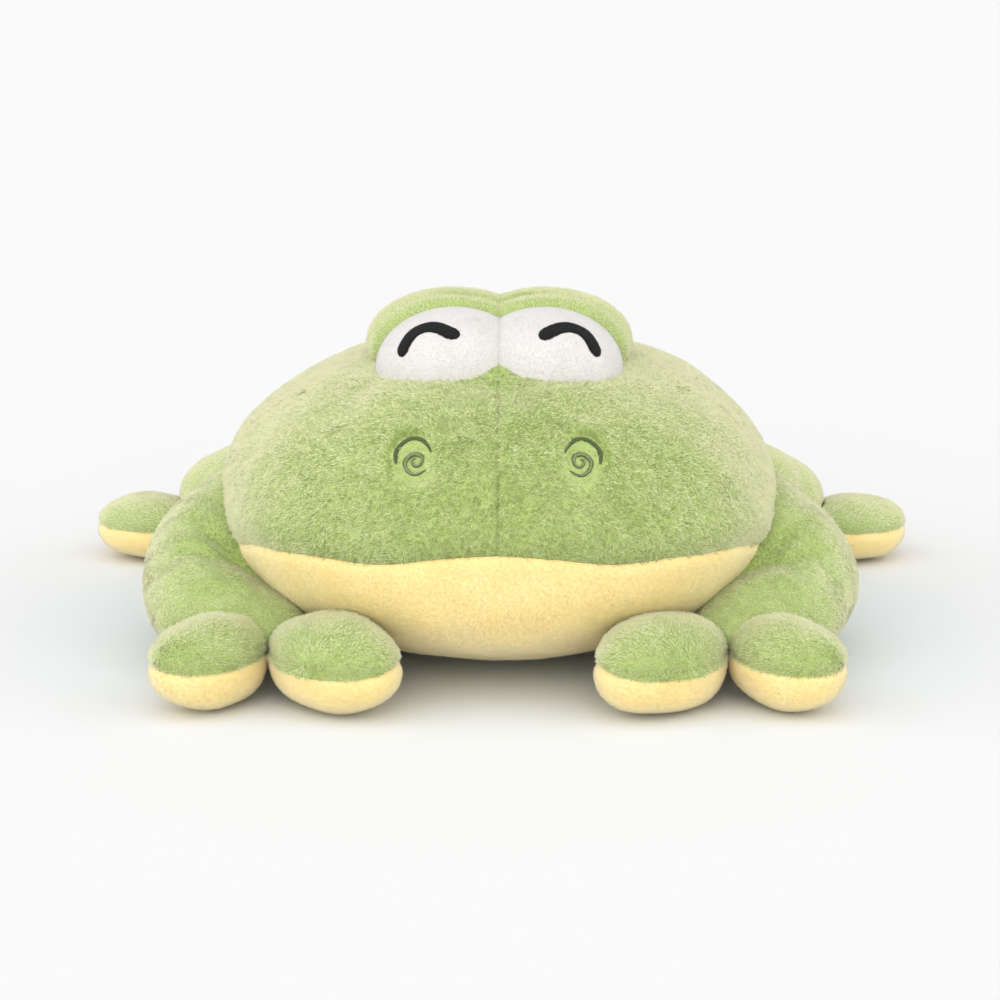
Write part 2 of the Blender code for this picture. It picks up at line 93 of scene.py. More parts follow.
def soften(value):
    value = np.clip(value, 0, 1)
    return value * value * (3 - 2 * value)


def hump(distance, width):
    return np.exp(-((distance / width) ** 2))


def waves(points, size, seed, count=9):  # smooth unevenness of about -1 to 1, the same in each run
    draw = np.random.default_rng(seed)
    directions = unitRows(draw.normal(size=(count, 3))) * draw.uniform(0.7, 1.5, (count, 1))
    phases = draw.uniform(0, 2 * math.pi, count)
    return np.sin(points @ directions.T * (2 * math.pi / size) + phases).sum(1) / math.sqrt(count)


# The body: an egg, with the spine's seam, the mouth's seam, the nostrils' dishes and soft lumps

backTop = max(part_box(node)[1][2] for node in ("back_left_skin", "back_right_skin"))
equator = 83 * mm  # how high the widest ring lies
body = {
    "halfWidth": 167 * mm,
    "halfLength": 185 * mm,
    "equator": equator,
    "rise": backTop - equator,
    "bellyBlunt": 0.86,
    "lumps": 1.1 * mm,
    "fibreDepth": 9 * mm,
    "fill": 0.85,
}
seam = {"depth": 1.8 * mm, "width": 3.2 * mm, "limbDepth": 1.6 * mm, "limbWidth": 3 * mm}
mouth = {
    "height": 51 * mm,
    "fall": 0.213,  # the seam runs on a plane that sinks towards the back
    "frontLength": 60 * mm,
    "middleLift": 1.1 * mm,
    "middleWidth": 18 * mm,
    "lipDrop": 4.6 * mm,
    "lipOut": 66 * mm,
    "lipWidth": 30 * mm,
    "cornerLift": 3 * mm,
    "cornerOut": 112 * mm,
    "cornerLength": 30 * mm,
    "swell": 2.2 * mm,  # the fullness of the green just above the seam
    "swellUp": 13 * mm,
    "swellWidth": 10 * mm,
}
bridge = {  # the fullness between the eyes
    "height": 8 * mm,
    "width": 11 * mm,
    "length": 17 * mm,
    "ahead": 70 * mm,
    "above": 120 * mm,
}
nostril = {
    "outward": 0.272 * body["halfWidth"],
    "height": body["equator"] + 0.504 * body["rise"],
    "dishRadius": 12.5 * mm,
    "dishDepth": 3.4 * mm,
    "steepBearing": math.radians(70),
    "rim": 0.9 * mm,
    "rimRadius": 16 * mm,
    "rimWidth": 3.5 * mm,
    "pinch": 1.0 * mm,
    "pinchRadius": 13 * mm,
    "pinchWidth": 2.4 * mm,
    "pinchBearing": math.radians(45),
}


def mouthLine(x, y):  # how high the mouth's seam runs: a tilted plane with two soft lips
    out = np.abs(x)
    wave = mouth["middleLift"] * hump(x, mouth["middleWidth"])
    wave -= mouth["lipDrop"] * hump(out - mouth["lipOut"], mouth["lipWidth"])
    wave += mouth["cornerLift"] * soften((out - mouth["cornerOut"]) / mouth["cornerLength"])
    return mouth["height"] - mouth["fall"] * y + wave * soften(-y / mouth["frontLength"])


def eggPoints(directions, grow=0.0):
    x, y, z = directions.T
    ring = np.hypot(x, y)
    below = z < 0
    flat = np.where(below, ring.clip(1e-9) ** (body["bellyBlunt"] - 1), 1.0)
    depth = -(body["equator"] + grow) * np.abs(z) ** body["bellyBlunt"]
    height = np.where(below, depth, (body["rise"] + grow) * z)
    across = (body["halfWidth"] + grow) * x * flat
    along = (body["halfLength"] + grow) * y * flat
    return np.stack([across, along, body["equator"] + height], 1)


def eggNormals(points):
    rise = np.where(points[:, 2] > body["equator"], body["rise"], body["equator"])
    slope = points - np.array([0, 0, body["equator"]])
    level = np.ones(len(points))
    scale = np.stack([level * body["halfWidth"], level * body["halfLength"], rise], 1)
    return unitRows(slope / scale**2)


def inEgg(points, margin=0.0):  # positive margin: only what is that far inside
    x, y, z = points.T
    up = (z - body["equator"]) / (body["rise"] - margin)
    down = ((body["equator"] - z) / (body["equator"] - margin)).clip(0, 1) ** (1 / body["bellyBlunt"])
    ringDown = np.sqrt(1 - down**2) ** (2 * body["bellyBlunt"])
    ring = np.where(z > body["equator"], 1 - up**2, ringDown)
    across = x / (body["halfWidth"] - margin)
    along = y / (body["halfLength"] - margin)
    return across**2 + along**2 < ring


def nostrilSpot(points):  # distance from the nearer nostril as seen from the front, and its bearing
    across = np.abs(points[:, 0]) - nostril["outward"]
    up = points[:, 2] - nostril["height"]
    return np.hypot(across, up), np.arctan2(up, across), points[:, 1] < 0


def bodyRelief(points):
    x, y, z = points.T
    offMouth = z - mouthLine(x, y)
    gathered = 0.7 + 0.3 * waves(points, 11 * mm, 6)
    relief = -seam["depth"] * hump(x, seam["width"]) * soften(offMouth / (6 * mm)) * gathered
    relief -= 0.8 * seam["depth"] * hump(offMouth, seam["width"])
    swell = mouth["swell"] * hump(offMouth - mouth["swellUp"], mouth["swellWidth"])
    relief += swell * soften(-y / (80 * mm))
    relief += body["lumps"] * (0.6 * waves(points, 85 * mm, 3) + 0.3 * waves(points, 38 * mm, 4))
    full = bridge["height"] * hump(x, bridge["width"]) * hump(y + bridge["ahead"], bridge["length"])
    relief += full * (z > bridge["above"])
    away, bearing, facing = nostrilSpot(points)
    steep = 0.75 + 0.25 * np.cos(bearing - nostril["steepBearing"])
    dish = 1 - soften((away / nostril["dishRadius"] - 0.45) / (0.75 - 0.3 * steep))
    relief -= nostril["dishDepth"] * dish * facing
    relief += nostril["rim"] * hump(away - nostril["rimRadius"], nostril["rimWidth"]) * facing * steep
    pinched = nostril["pinch"] * hump(away - nostril["pinchRadius"], nostril["pinchWidth"]) * facing
    relief -= pinched * soften(np.cos(bearing - nostril["pinchBearing"]))
    return relief


def bodySurface(directions, grow=0.0):
    points = eggPoints(directions.reshape(-1, 3), grow)
    points = points + eggNormals(points) * bodyRelief(points)[:, None]
    points[:, 2] = points[:, 2].clip(0.8 * mm)
    return points.reshape(directions.shape)


def facePoints(x, z, lift):  # where the face lies at those places, seen from the front
    acrossAt, heightAt = x.copy(), z.copy()
    for _ in range(3):
        share = 1 - (acrossAt / body["halfWidth"]) ** 2 - ((heightAt - body["equator"]) / body["rise"]) ** 2
        points = np.stack([acrossAt, -body["halfLength"] * np.sqrt(share), heightAt], 1)
        points = points + eggNormals(points) * (bodyRelief(points) + lift)[:, None]
        acrossAt += x - points[:, 0]
        heightAt += z - points[:, 2]
    return points


def faceNormals(x, z):
    step = 0.4 * mm
    across = facePoints(x + step, z, 0) - facePoints(x - step, z, 0)
    upward = facePoints(x, z + step, 0) - facePoints(x, z - step, 0)
    return unitRows(np.cross(across, upward))


# Sheets: a grid of points becomes one panel of fabric, with its own map

def sheetObject(name, grid, keep=None):
    rows, columns = grid.shape[:2]
    index = np.arange(rows * columns).reshape(rows, columns)
    quads = np.stack([index[:-1, :-1], index[:-1, 1:], index[1:, 1:], index[1:, :-1]], -1).reshape(-1, 4)
    points = grid.reshape(-1, 3)
    inward = np.repeat(grid.mean(axis=1), columns - 1, axis=0)[:len(quads)]
    corners = points[quads]
    facing = np.cross(corners[:, 2] - corners[:, 0], corners[:, 3] - corners[:, 1])
    if ((corners.mean(1) - inward) * facing).sum() < 0:
        quads = quads[:, ::-1]
    if keep is not None:
        quads = quads[keep(points[quads].mean(1))]
    mesh = bpy.data.meshes.new(name)
    mesh.from_pydata(points.tolist(), [], quads.tolist())
    along = np.tile(np.linspace(0, 1, columns), rows)
    down = np.repeat(np.linspace(0, 1, rows), columns)
    bakeMap(mesh, np.stack([along, down], 1)[readMesh(mesh.loops, "vertex_index", np.int32, 1)])
    welded = bmesh.new()
    welded.from_mesh(mesh)
    bmesh.ops.remove_doubles(welded, verts=welded.verts, dist=0.02 * mm)
    bmesh.ops.dissolve_degenerate(welded, edges=welded.edges, dist=0.02 * mm)
    loose = [vertex for vertex in welded.verts if not vertex.link_faces]
    bmesh.ops.delete(welded, geom=loose, context="VERTS")
    for face in welded.faces:
        face.smooth = True
    welded.to_mesh(mesh)
    welded.free()
    return linkObject(name, mesh)


def bakeMap(mesh, places):
    mesh.uv_layers.new(name="OFBake").uv.foreach_set("vector", places.astype(np.float32).ravel())


def thicken(obj, thickness):  # fabric has an inner face as well
    solid = obj.modifiers.new("thickness", "SOLIDIFY")
    solid.thickness = thickness
    solid.offset = -1
    graph = bpy.context.evaluated_depsgraph_get()
    mesh = bpy.data.meshes.new_from_object(obj.evaluated_get(graph))
    obj.modifiers.clear()
    obj.data = mesh


def readMesh(items, name, kind, width):
    found = np.empty(len(items) * width, kind)
    items.foreach_get(name, found)
    return found.reshape(-1, width) if width > 1 else found


def scatter(obj, spacing, seed):  # even spots over the outer face: places and normals
    mesh = obj.data
    mesh.calc_loop_triangles()
    points = readMesh(mesh.vertices, "co", np.float32, 3)
    normals = readMesh(mesh.vertices, "normal", np.float32, 3)
    corners = readMesh(mesh.loop_triangles, "vertices", np.int32, 3)
    a, b, c = points[corners].transpose(1, 0, 2)
    areas = np.linalg.norm(np.cross(b - a, c - a), axis=1).astype(float) / 2
    draw = np.random.default_rng(seed)
    count = int(areas.sum() / spacing**2)
    marks = (np.arange(count) + draw.uniform(size=count)) / count * areas.sum()
    chosen = np.searchsorted(np.cumsum(areas), marks).clip(max=len(areas) - 1)
    s, t = draw.uniform(size=(2, count))
    folded = s + t > 1
    s, t = np.where(folded, 1 - s, s), np.where(folded, 1 - t, t)
    weights = np.stack([1 - s - t, s, t], 1)[:, :, None]
    spots = (points[corners[chosen]] * weights).sum(1)
    return spots, unitRows((normals[corners[chosen]] * weights).sum(1))


# Pile: each tuft is a small closed spike of four faces, arched along its back

mostTufts = 49_900  # in one piece


def tangent(way, normals):
    way = way - normals * (way * normals).sum(1, keepdims=True)
    return unitRows(way)


def turned(way, normals, angle):
    return way * np.cos(angle)[:, None] + np.cross(normals, way) * np.sin(angle)[:, None]


def pileObjects(name, spots, normals, comb, growth, tone, fur, seed):
    parts = max(1, math.ceil(len(spots) / mostTufts))
    centre = spots.mean(0)
    order = np.argsort(np.arctan2(spots[:, 1] - centre[1], spots[:, 0] - centre[0]))
    pieces = []
    for number, chosen in enumerate(np.array_split(order, parts)):
        pieceName = name if parts == 1 else f"{name}_{number + 1}"
        arrays = [values[chosen] for values in (spots, normals, comb, growth, tone)]
        pieces.append(pileObject(pieceName, *arrays, fur, seed + number))
    return pieces


def pileObject(name, spots, normals, comb, growth, tone, fur, seed):
    draw = np.random.default_rng(seed)
    count = len(spots)
    swirl = fur["swirl"] * waves(spots, fur["swirlSize"], seed % 7)
    swirl += fur["clump"] * waves(spots, 6 * mm, 21)
    swirl += draw.normal(0, fur["stray"], count)
    comb = turned(comb, normals, swirl)
    side = np.cross(normals, comb)
    length = fur["length"] * growth * draw.uniform(0.65, 1.35, count)
    width = fur["width"] * draw.uniform(0.75, 1.25, count)
    lean = fur["lean"] + fur["ruffle"] * waves(spots, 9 * mm, 22) + draw.normal(0, 0.12, count)
    rising = normals * np.cos(lean)[:, None] + comb * np.sin(lean)[:, None]
    upward = normals * np.sin(lean)[:, None] - comb * np.cos(lean)[:, None]
    foot = spots - normals * fur["sunk"]
    ridge = foot + rising * (length * 0.45)[:, None] + upward * (length * fur["arch"])[:, None]
    tip = foot + rising * length[:, None]
    half = side * (width / 2)[:, None]
    vertices = np.stack([foot - half, foot + half, ridge, tip], 1)
    own = np.stack([-side, side, upward, comb * 0.6 + normals * 0.4], 1)
    soft = normals[:, None, :] * fur["evenness"] + own * (1 - fur["evenness"])
    vertices[:, :, 2] = vertices[:, :, 2].clip(0.2 * mm)  # nothing goes under the floor
    faces = np.array([0, 2, 1, 0, 3, 2, 1, 2, 3, 0, 1, 3])
    loops = (faces + 4 * np.arange(count)[:, None]).ravel().astype(np.int32)
    mesh = bpy.data.meshes.new(name)
    mesh.vertices.add(4 * count)
    mesh.loops.add(len(loops))
    mesh.polygons.add(4 * count)
    mesh.vertices.foreach_set("co", vertices.astype(np.float32).ravel())
    mesh.loops.foreach_set("vertex_index", loops)
    mesh.polygons.foreach_set("loop_start", np.arange(0, 12 * count, 3, dtype=np.int32))
    mesh.polygons.foreach_set("use_smooth", np.ones(4 * count, bool))
    mesh.update(calc_edges=True)
    shade = np.clip(tone + draw.normal(0, fur["unevenTone"], count), 0.02, 0.98)
    toneAt = np.repeat(shade[:, None], 4, 1) + np.array([-0.02, 0.02, 0, 0])
    reachAt = np.tile(np.array([0, 0, 0.5, 1.0]), (count, 1))
    shadeMesh(mesh, toneAt, reachAt, loops)
    mesh.normals_split_custom_set_from_vertices(unitRows(soft.reshape(-1, 3)))
    return linkObject(name, mesh)


def shadeMesh(mesh, tone, reach, loops):  # what the fibre materials read: each tuft's tone, with painted shade and light added to it, and share of the length, which sets the painted shade towards roots and edges
    for label, values in (("tone", tone), ("reach", reach)):
        layer = mesh.attributes.new(label, "FLOAT", "POINT")
        layer.data.foreach_set("value", values.astype(np.float32).ravel())
    bakeMap(mesh, np.stack([tone.ravel(), reach.ravel()], 1)[loops])


# Materials

def newMaterial(name):
    material = bpy.data.materials.new(name)
    material.use_nodes = True
    material.node_tree.nodes.clear()
    return material, material.node_tree


def paintedSheen(tree, colour, fuzz, pale):  # painted sheen: the colour is mixed towards a pale one where the surface is seen side on
    edge = addNode(tree, "ShaderNodeLayerWeight", inputs={"Blend": 0.5})
    share = addNode(tree, "ShaderNodeMapRange", {"interpolation_type": "SMOOTHSTEP"}, {
        "Value": (edge, "Facing"), "From Min": 0.3, "From Max": 0.84, "To Max": fuzz})
    return addNode(tree, "ShaderNodeMix", {"data_type": "RGBA"}, {
        0: (share, "Result"), 6: colour, 7: linearColour(pale)})


def strandMaterial(name, look):  # fibres and threads: painted shade at the fibres' roots and the threads' edges, a painted sheen, and Principled's own sheen
    material, tree = newMaterial(name)
    tone = addNode(tree, "ShaderNodeAttribute", {"attribute_name": "tone"})
    reach = addNode(tree, "ShaderNodeAttribute", {"attribute_name": "reach"})
    roots, tips = (
        addNode(tree, "ShaderNodeValToRGB", inputs={"Fac": (tone, "Fac")}, stops=look[part])
        for part in ("roots", "tips"))
    # painted shade: towards the roots the colour goes over to the deeper root ramp
    fade = addNode(tree, "ShaderNodeMapRange", inputs={
        "Value": (reach, "Fac"), "From Min": 0.1, "From Max": 0.7})
    paler = paintedSheen(tree, (tips, "Color"), look["fuzz"], look["pale"])
    deeper = paintedSheen(tree, (roots, "Color"), look["fuzz"] * 0.75, look["pale"])
    colour = addNode(tree, "ShaderNodeMix", {"data_type": "RGBA"}, {
        0: (fade, "Result"), 6: (deeper, 2), 7: (paler, 2)})
    shader = addNode(tree, "ShaderNodeBsdfPrincipled", inputs={
        "Base Color": (colour, 2), "Roughness": look["roughness"], "Specular IOR Level": look["gloss"],
        "Sheen Weight": look["sheen"], "Sheen Roughness": 0.4,
        "Sheen Tint": linearColour(look["sheenTint"])})
    addNode(tree, "ShaderNodeOutputMaterial", inputs={"Surface": (shader, "BSDF")})
    return material


def knitBacking(name, look):  # the ground that the pile is knitted into: small loops, a little darker, and a painted sheen where seen side on
    material, tree = newMaterial(name)
    place = addNode(tree, "ShaderNodeTexCoord")
    patches = addNode(tree, "ShaderNodeTexNoise", inputs={
        "Vector": (place, "Object"), "Scale": 1 / look["patch"], "Detail": 3.0})
    loops = addNode(tree, "ShaderNodeTexVoronoi", inputs={
        "Vector": (place, "Object"), "Scale": 1 / look["loop"]})
    colour = addNode(tree, "ShaderNodeValToRGB", inputs={"Fac": (patches, "Fac")}, stops=look["colours"])
    bump = addNode(tree, "ShaderNodeBump", inputs={
        "Height": (loops, "Distance"), "Strength": 0.35, "Distance": 0.3 * mm})
    shown = paintedSheen(tree, (colour, "Color"), look["fuzz"], look["pale"])
    shader = addNode(tree, "ShaderNodeBsdfPrincipled", inputs={
        "Base Color": (shown, 2), "Roughness": 0.9, "Specular IOR Level": 0.2,
        "Sheen Weight": 0.25, "Sheen Roughness": 0.5, "Normal": (bump, "Normal")})
    addNode(tree, "ShaderNodeOutputMaterial", inputs={"Surface": (shader, "BSDF")})
    return material


# brushed plush: matt fibres, with painted shade at the roots deep between the tufts, lighter tips, and a
# painted sheen that makes it palest where seen side on
greenPile = strandMaterial("brushedPolyesterPlushGreen", {
    "roots": [(0.0, "#80954A"), (1.0, "#B2C47A")],
    "tips": [(0.0, "#9DB062"), (0.3, "#CAD78E"), (0.65, "#E3E9A8"), (1.0, "#F5F8C6")],
    "fuzz": 0.95, "pale": "#FBFAC9",
    "roughness": 0.85, "gloss": 0.2, "sheen": 0.6, "sheenTint": "#F8F8DC"})
# the same plush cut shorter, so that it looks warm and even, with a little painted shade at the roots and a
# weaker painted sheen
yellowPile = strandMaterial("brushedPolyesterPlushYellow", {
    "roots": [(0.0, "#F8D98C"), (1.0, "#FBE098")],
    "tips": [(0.0, "#FCE6A4"), (0.5, "#FDEBAC"), (1.0, "#FFF0B8")],
    "fuzz": 0.45, "pale": "#FFF4CC",
    "roughness": 0.85, "gloss": 0.2, "sheen": 0.4, "sheenTint": "#FFF6DC"})
# fleece with a short nap that lies flat: a plain warm white with a faint grain, a little painted shade at
# the roots and a faint painted sheen
whitePile = strandMaterial("shortNapFleeceWhite", {
    "roots": [(0.0, "#D4CFCA"), (1.0, "#DCD7D3")],
    "tips": [(0.0, "#DEDAD6"), (0.5, "#E3E0DC"), (1.0, "#E8E5E2")],
    "fuzz": 0.2, "pale": "#EEECEA",
    "roughness": 0.85, "gloss": 0.2, "sheen": 0.3, "sheenTint": "#FFFFFF"})
# rayon in close satin stitch: near black, with a weak lustre; each strand is painted a little lighter at
# its middle, a painted highlight
blackThread = strandMaterial("rayonThreadBlack", {
    "roots": [(0.0, "#09090A"), (1.0, "#0E0E0F")],
    "tips": [(0.0, "#0B0B0C"), (0.5, "#121213"), (1.0, "#1C1C1C")],
    "fuzz": 0.0, "pale": "#242424",
    "roughness": 0.5, "gloss": 0.2, "sheen": 0.0, "sheenTint": "#FFFFFF"})
# rayon again: each strand is painted grey-green on its crown and deep olive at its edges, a painted
# highlight and painted shade
greenThread = strandMaterial("rayonThreadOliveGreen", {
    "roots": [(0.0, "#3E4F22"), (1.0, "#4A5C2A")],
    "tips": [(0.0, "#6F7F4E"), (0.5, "#7D8B5C"), (1.0, "#8E9A70")],
    "fuzz": 0.0, "pale": "#8E9A70",
    "roughness": 0.45, "gloss": 0.4, "sheen": 0.3, "sheenTint": "#FFFFFF"})
# the knit under the pile, matt and painted a little deeper as the shade between the tufts, closes the gaps
# between them. Its dye varies over 2 cm. Its loops are about 0.5 mm wide and are drawn wider, so that they
# show
greenBacking = knitBacking("polyesterKnitBackingGreen", {
    "patch": 20 * mm, "loop": 1.1 * mm, "fuzz": 0.5, "pale": "#F0F4C0",
    "colours": [(0.3, "#A6BB6C"), (0.7, "#B2C67A")]})
yellowBacking = knitBacking("polyesterKnitBackingYellow", {
    "patch": 20 * mm, "loop": 1.1 * mm, "fuzz": 0.6, "pale": "#FFF2C8",
    "colours": [(0.3, "#F9DC92"), (0.7, "#FBE39E")]})
whiteBacking = knitBacking("polyesterKnitBackingWhite", {
    "patch": 15 * mm, "loop": 0.8 * mm, "fuzz": 0.3, "pale": "#F0EEEC",
    "colours": [(0.3, "#DAD5D1"), (0.7, "#E0DCD9")]})
# loose hollow fibre, cloudy and off-white, seen only if a seam opens
wadding = knitBacking("polyesterFibrefill", {
    "patch": 12 * mm, "loop": 2.5 * mm, "fuzz": 0.3, "pale": "#F4F3F0",
    "colours": [(0.3, "#E9E7E2"), (0.7, "#F2F0EC")]})
cloths = {  # the backing and the pile for each slot
    "green_pile": (greenBacking, greenPile),
    "yellow_pile": (yellowBacking, yellowPile),
    "white_nap": (whiteBacking, whitePile),
}
print("materials made")


# Cloth: a panel, its backing and its pile. Real tufts stand about 0.3 mm apart: these are coarser, to show

greenFur = {
    "spacing": 0.86 * mm, "length": 2.6 * mm, "width": 0.58 * mm, "lean": math.radians(44),
    "arch": 0.2, "swirl": 0.8, "swirlSize": 24 * mm, "clump": 0.6, "stray": 0.35, "ruffle": 0.2,
    "sunk": 0.4 * mm, "evenness": 0.94, "unevenTone": 0.3, "patches": 1.0, "settle": 1.9 * mm,
}
armFur = dict(greenFur, length=1.9 * mm, lean=math.radians(42), width=0.55 * mm, swirl=0.4,
              clump=0.3, ruffle=0.1, unevenTone=0.22, patches=0.35)
hoodFur = dict(armFur, length=2.1 * mm, patches=0.25)
toeFur = dict(greenFur, length=2.5 * mm, lean=math.radians(48), width=0.52 * mm, swirl=0.3, clump=0.25,
              stray=0.22, ruffle=0.1, evenness=0.8, patches=0.5, unevenTone=0.28)
yellowFur = dict(greenFur, spacing=0.92 * mm, length=1.3 * mm, width=0.6 * mm, lean=math.radians(40),
                 swirl=0.2, clump=0.08, stray=0.3, ruffle=0.0, evenness=1.0, unevenTone=0.07,
                 patches=0.1, settle=1.0 * mm)
whiteFur = dict(yellowFur, spacing=0.75 * mm, length=0.8 * mm, width=0.5 * mm, lean=math.radians(58),
                sunk=0.15 * mm, settle=0.4 * mm)
thickness = {"plush": 2 * mm, "nap": 1.3 * mm}
hidden = {  # how far a piece goes on inside its neighbour
    "root": 60 * mm,  # a limb's skin, so that a swing opens no hole
    "rootPile": 25 * mm,
    "panel": 5 * mm,
    "toe": 4 * mm,
}
pileFloor = 1.2 * mm  # lower than this, the pile is pressed flat


def dress(skin, slot, fur, comb, seed, growth=None, keep=None, tone=0.0):
    backing, pile = cloths[slot]
    spots, normals = scatter(skin, fur["spacing"], seed)
    if keep is not None:
        held = keep(spots)
        spots, normals = spots[held], normals[held]
    lengths = np.ones(len(spots)) if growth is None else growth(spots)
    patchy = 0.08 * waves(spots, 60 * mm, 11) + 0.06 * waves(spots, 14 * mm, 12)
    tones = 0.5 + fur["patches"] * (patchy + 0.15 * waves(spots, 4.2 * mm, 13))
    # painted shade and painted light from the caller, added to the tone
    tones = tones + (tone(spots) if callable(tone) else tone)
    way = tangent(comb(spots), normals)
    name = skin.name.replace("_panel", "") + "_pile"
    furs = pileObjects(name, spots, normals, way, lengths, tones, fur, seed)
    for piece in furs:
        piece.data.materials.append(pile)
    skin.data.materials.append(backing)
    return furs


def sewPanel(panel, node, slot, fur, comb, seed, fill=None, cloth="plush", **pileLook):
    furs = dress(panel, slot, fur, comb, seed, **pileLook)
    thicken(panel, thickness[cloth])
    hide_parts(node)
    return [panel, *furs]


def stuff(name, grid, node):  # the fibre inside, one closed mass under the fabric
    grid[..., 2] = grid[..., 2].clip(4 * mm)
    fill = sheetObject(name, grid)
    fill.data.materials.append(wadding)
    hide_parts(node)
    return fill


# Round forms that stand on the body: eyes, hoods and toes

eyeDome = {
    "outward": 27.4 * mm,
    "ahead": 0.27,  # share of the body's half length
    "sunk": 8.2 * mm,
    "half": (44 * mm, 39 * mm, 33.6 * mm),
    "tilt": math.radians(4),
    "fibreDepth": 5 * mm,
    "overlap": 1.5 * mm,  # the two domes meet at the middle
    "fill": 0.9,
}
eyeHood = {  # the roll of plush behind and over each dome, measured from the dome's centre
    "inward": 0.8 * mm,
    "back": 25 * mm,
    "up": 10 * mm,
    "half": (52 * mm, 30 * mm, 32.2 * mm),
    "foldDepth": 2.6 * mm,
    "foldWidth": 2.5 * mm,
    "foldOut": 7.5 * mm,
    "rimHeight": 1.8 * mm,
    "rimWidth": 3.2 * mm,
    "rimOut": 3 * mm,
    # painted light: the hood's pile is drawn paler, as it faces up into the light
    "tone": 0.45,
    # painted shade in the fold under the roll
    "foldTone": 0.85,
    "fill": 0.8,
}


def ballDirections(rows, columns, fromPolar=0.0, toPolar=math.pi):
    polar = np.linspace(fromPolar, toPolar, rows)[:, None]
    around = np.linspace(0, 2 * math.pi, columns)[None, :]
    return np.stack([
        np.sin(polar) * np.cos(around), np.sin(polar) * np.sin(around), np.cos(polar) + 0 * around], -1)


def ballAxes(ball):  # turn is round Z, tilt lowers the outer end
    turn, tilt = ball.get("turn", 0.0), ball.get("tilt", 0.0)
    spin = np.array([[math.cos(turn), -math.sin(turn), 0], [math.sin(turn), math.cos(turn), 0], [0, 0, 1]])
    lean = np.array([[math.cos(tilt), 0, math.sin(tilt)], [0, 1, 0], [-math.sin(tilt), 0, math.cos(tilt)]])
    return spin @ lean


def ballPoints(directions, ball, grow=0.0):
    return directions * (np.array(ball["half"]) + grow) @ ballAxes(ball).T + np.array(ball["centre"])


def ballShare(points, ball, margin=0.0):  # where the points lie, as shares of the ball's half sizes
    return (points - np.array(ball["centre"])) @ ballAxes(ball) / (np.array(ball["half"]) - margin)


def inBall(points, ball, margin=0.0):
    return (ballShare(points, ball, margin)**2).sum(1) < 1


def inBalls(points, balls, margin=0.0):
    return np.any([inBall(points, ball, margin) for ball in balls], axis=0)


def blunted(directions, power):  # the same ball with a fuller underside
    ring = np.hypot(directions[..., 0], directions[..., 1]).clip(1e-6)
    below = directions[..., 2] < 0
    wide = np.where(below, ring ** (power - 1), 1.0)
    depth = np.where(below, -np.abs(directions[..., 2]) ** power, directions[..., 2])
    return np.stack([directions[..., 0] * wide, directions[..., 1] * wide, depth], -1)


def eyeBall(side):
    across = side * eyeDome["outward"]
    along = -eyeDome["ahead"] * body["halfLength"]
    share = 1 - (across / body["halfWidth"]) ** 2 - (along / body["halfLength"]) ** 2
    crown = body["equator"] + body["rise"] * math.sqrt(share)
    return {"centre": (across, along, crown - eyeDome["sunk"]), "half": eyeDome["half"],
            "tilt": side * eyeDome["tilt"]}


def hoodBall(side):
    x, y, z = eyeBall(side)["centre"]
    centre = (x - side * eyeHood["inward"], y + eyeHood["back"], z + eyeHood["up"])
    return {"centre": centre, "half": eyeHood["half"]}


def inEyes(points, margin=0.0):
    return inBalls(points, [make(side) for side in sides.values() for make in (eyeBall, hoodBall)], margin)


# Limbs: bent sausages on a curve through three points, with two toes each

limbBuild = {
    "blunt": 0.62,
    "seam": 12 * mm,  # how high the green meets the yellow
    "tone": 0.38,
    "fill": 0.8,
    "fibreDepth": 11 * mm,
    "bendDepth": 50 * mm,
}
toeBuild = {
    "blunt": 0.84,
    "seamPolar": math.radians(83),
    "pressed": 0.5 * mm,
    "fill": 0.85,
    "fibreDepth": 6 * mm,
}
limbShapes = {  # each path in shares of the body's half width and half length, with its heights in mm
    "arm": {
        "path": ((0.80, 0.03, 94), (0.98, -0.29, 43), (0.70, -0.75, 30)),
        "halfWidths": (34 * mm, 46 * mm, 42 * mm),
        "halfHeights": (35 * mm, 39.5 * mm, 28.5 * mm),
        "hinge": {"pivot": (143.62 * mm, -22.2 * mm, 108 * mm), "axis": (-0.6, -0.8, 0)},
        # half length, half width, half height and distance from the limb's end, then bearing, turn and roll
        "toes": {"inner": (47, 33, 27, 36, -49, -40, 8), "outer": (42, 30, 26, 46, 65, 30, -3)},
        # painted light: how much paler the toes' pile is drawn; the rear toes much paler than the front
        # ones, for the light that falls on them
        "toeTone": 0.06,
        "whorl": 0.55,  # where on a toe its pile fans out from: 1 is its outer end, -1 its root
    },
    "leg": {
        "path": ((0.60, 0.52, 52), (0.84, 0.70, 45), (1.23, 0.97, 40)),
        "halfWidths": (37 * mm, 42 * mm, 40 * mm),
        "halfHeights": (37 * mm, 43.5 * mm, 36 * mm),
        "hinge": {"pivot": (110.22 * mm, 111 * mm, 93 * mm), "axis": (0.6, -0.8, 0)},
        "toes": {"inner": (39, 33, 22, 39, 211, 165, 0), "outer": (39, 33, 22, 30, 59, 105, 0)},
        "toeTone": 0.6,
        "whorl": -0.9,
    },
}
armpit = {  # where the arm's folds fan out from, and each fold's turn, depth and length
    "spot": (146 * mm, -80 * mm, 61 * mm),
    "folds": ((math.radians(38), 4 * mm, 62 * mm), (math.radians(9), 3 * mm, 80 * mm)),
    "foldWidth": 4 * mm,
    "shade": 0.7,  # painted shade: how much deeper the pile's tone is drawn at the spot
    "shadeWidth": 26 * mm,
}


def makeLimb(kind, side):
    shape = limbShapes[kind]
    points = [(side * out * body["halfWidth"], along * body["halfLength"], height * mm)
              for out, along, height in shape["path"]]
    return dict(shape, kind=kind, points=np.array(points))


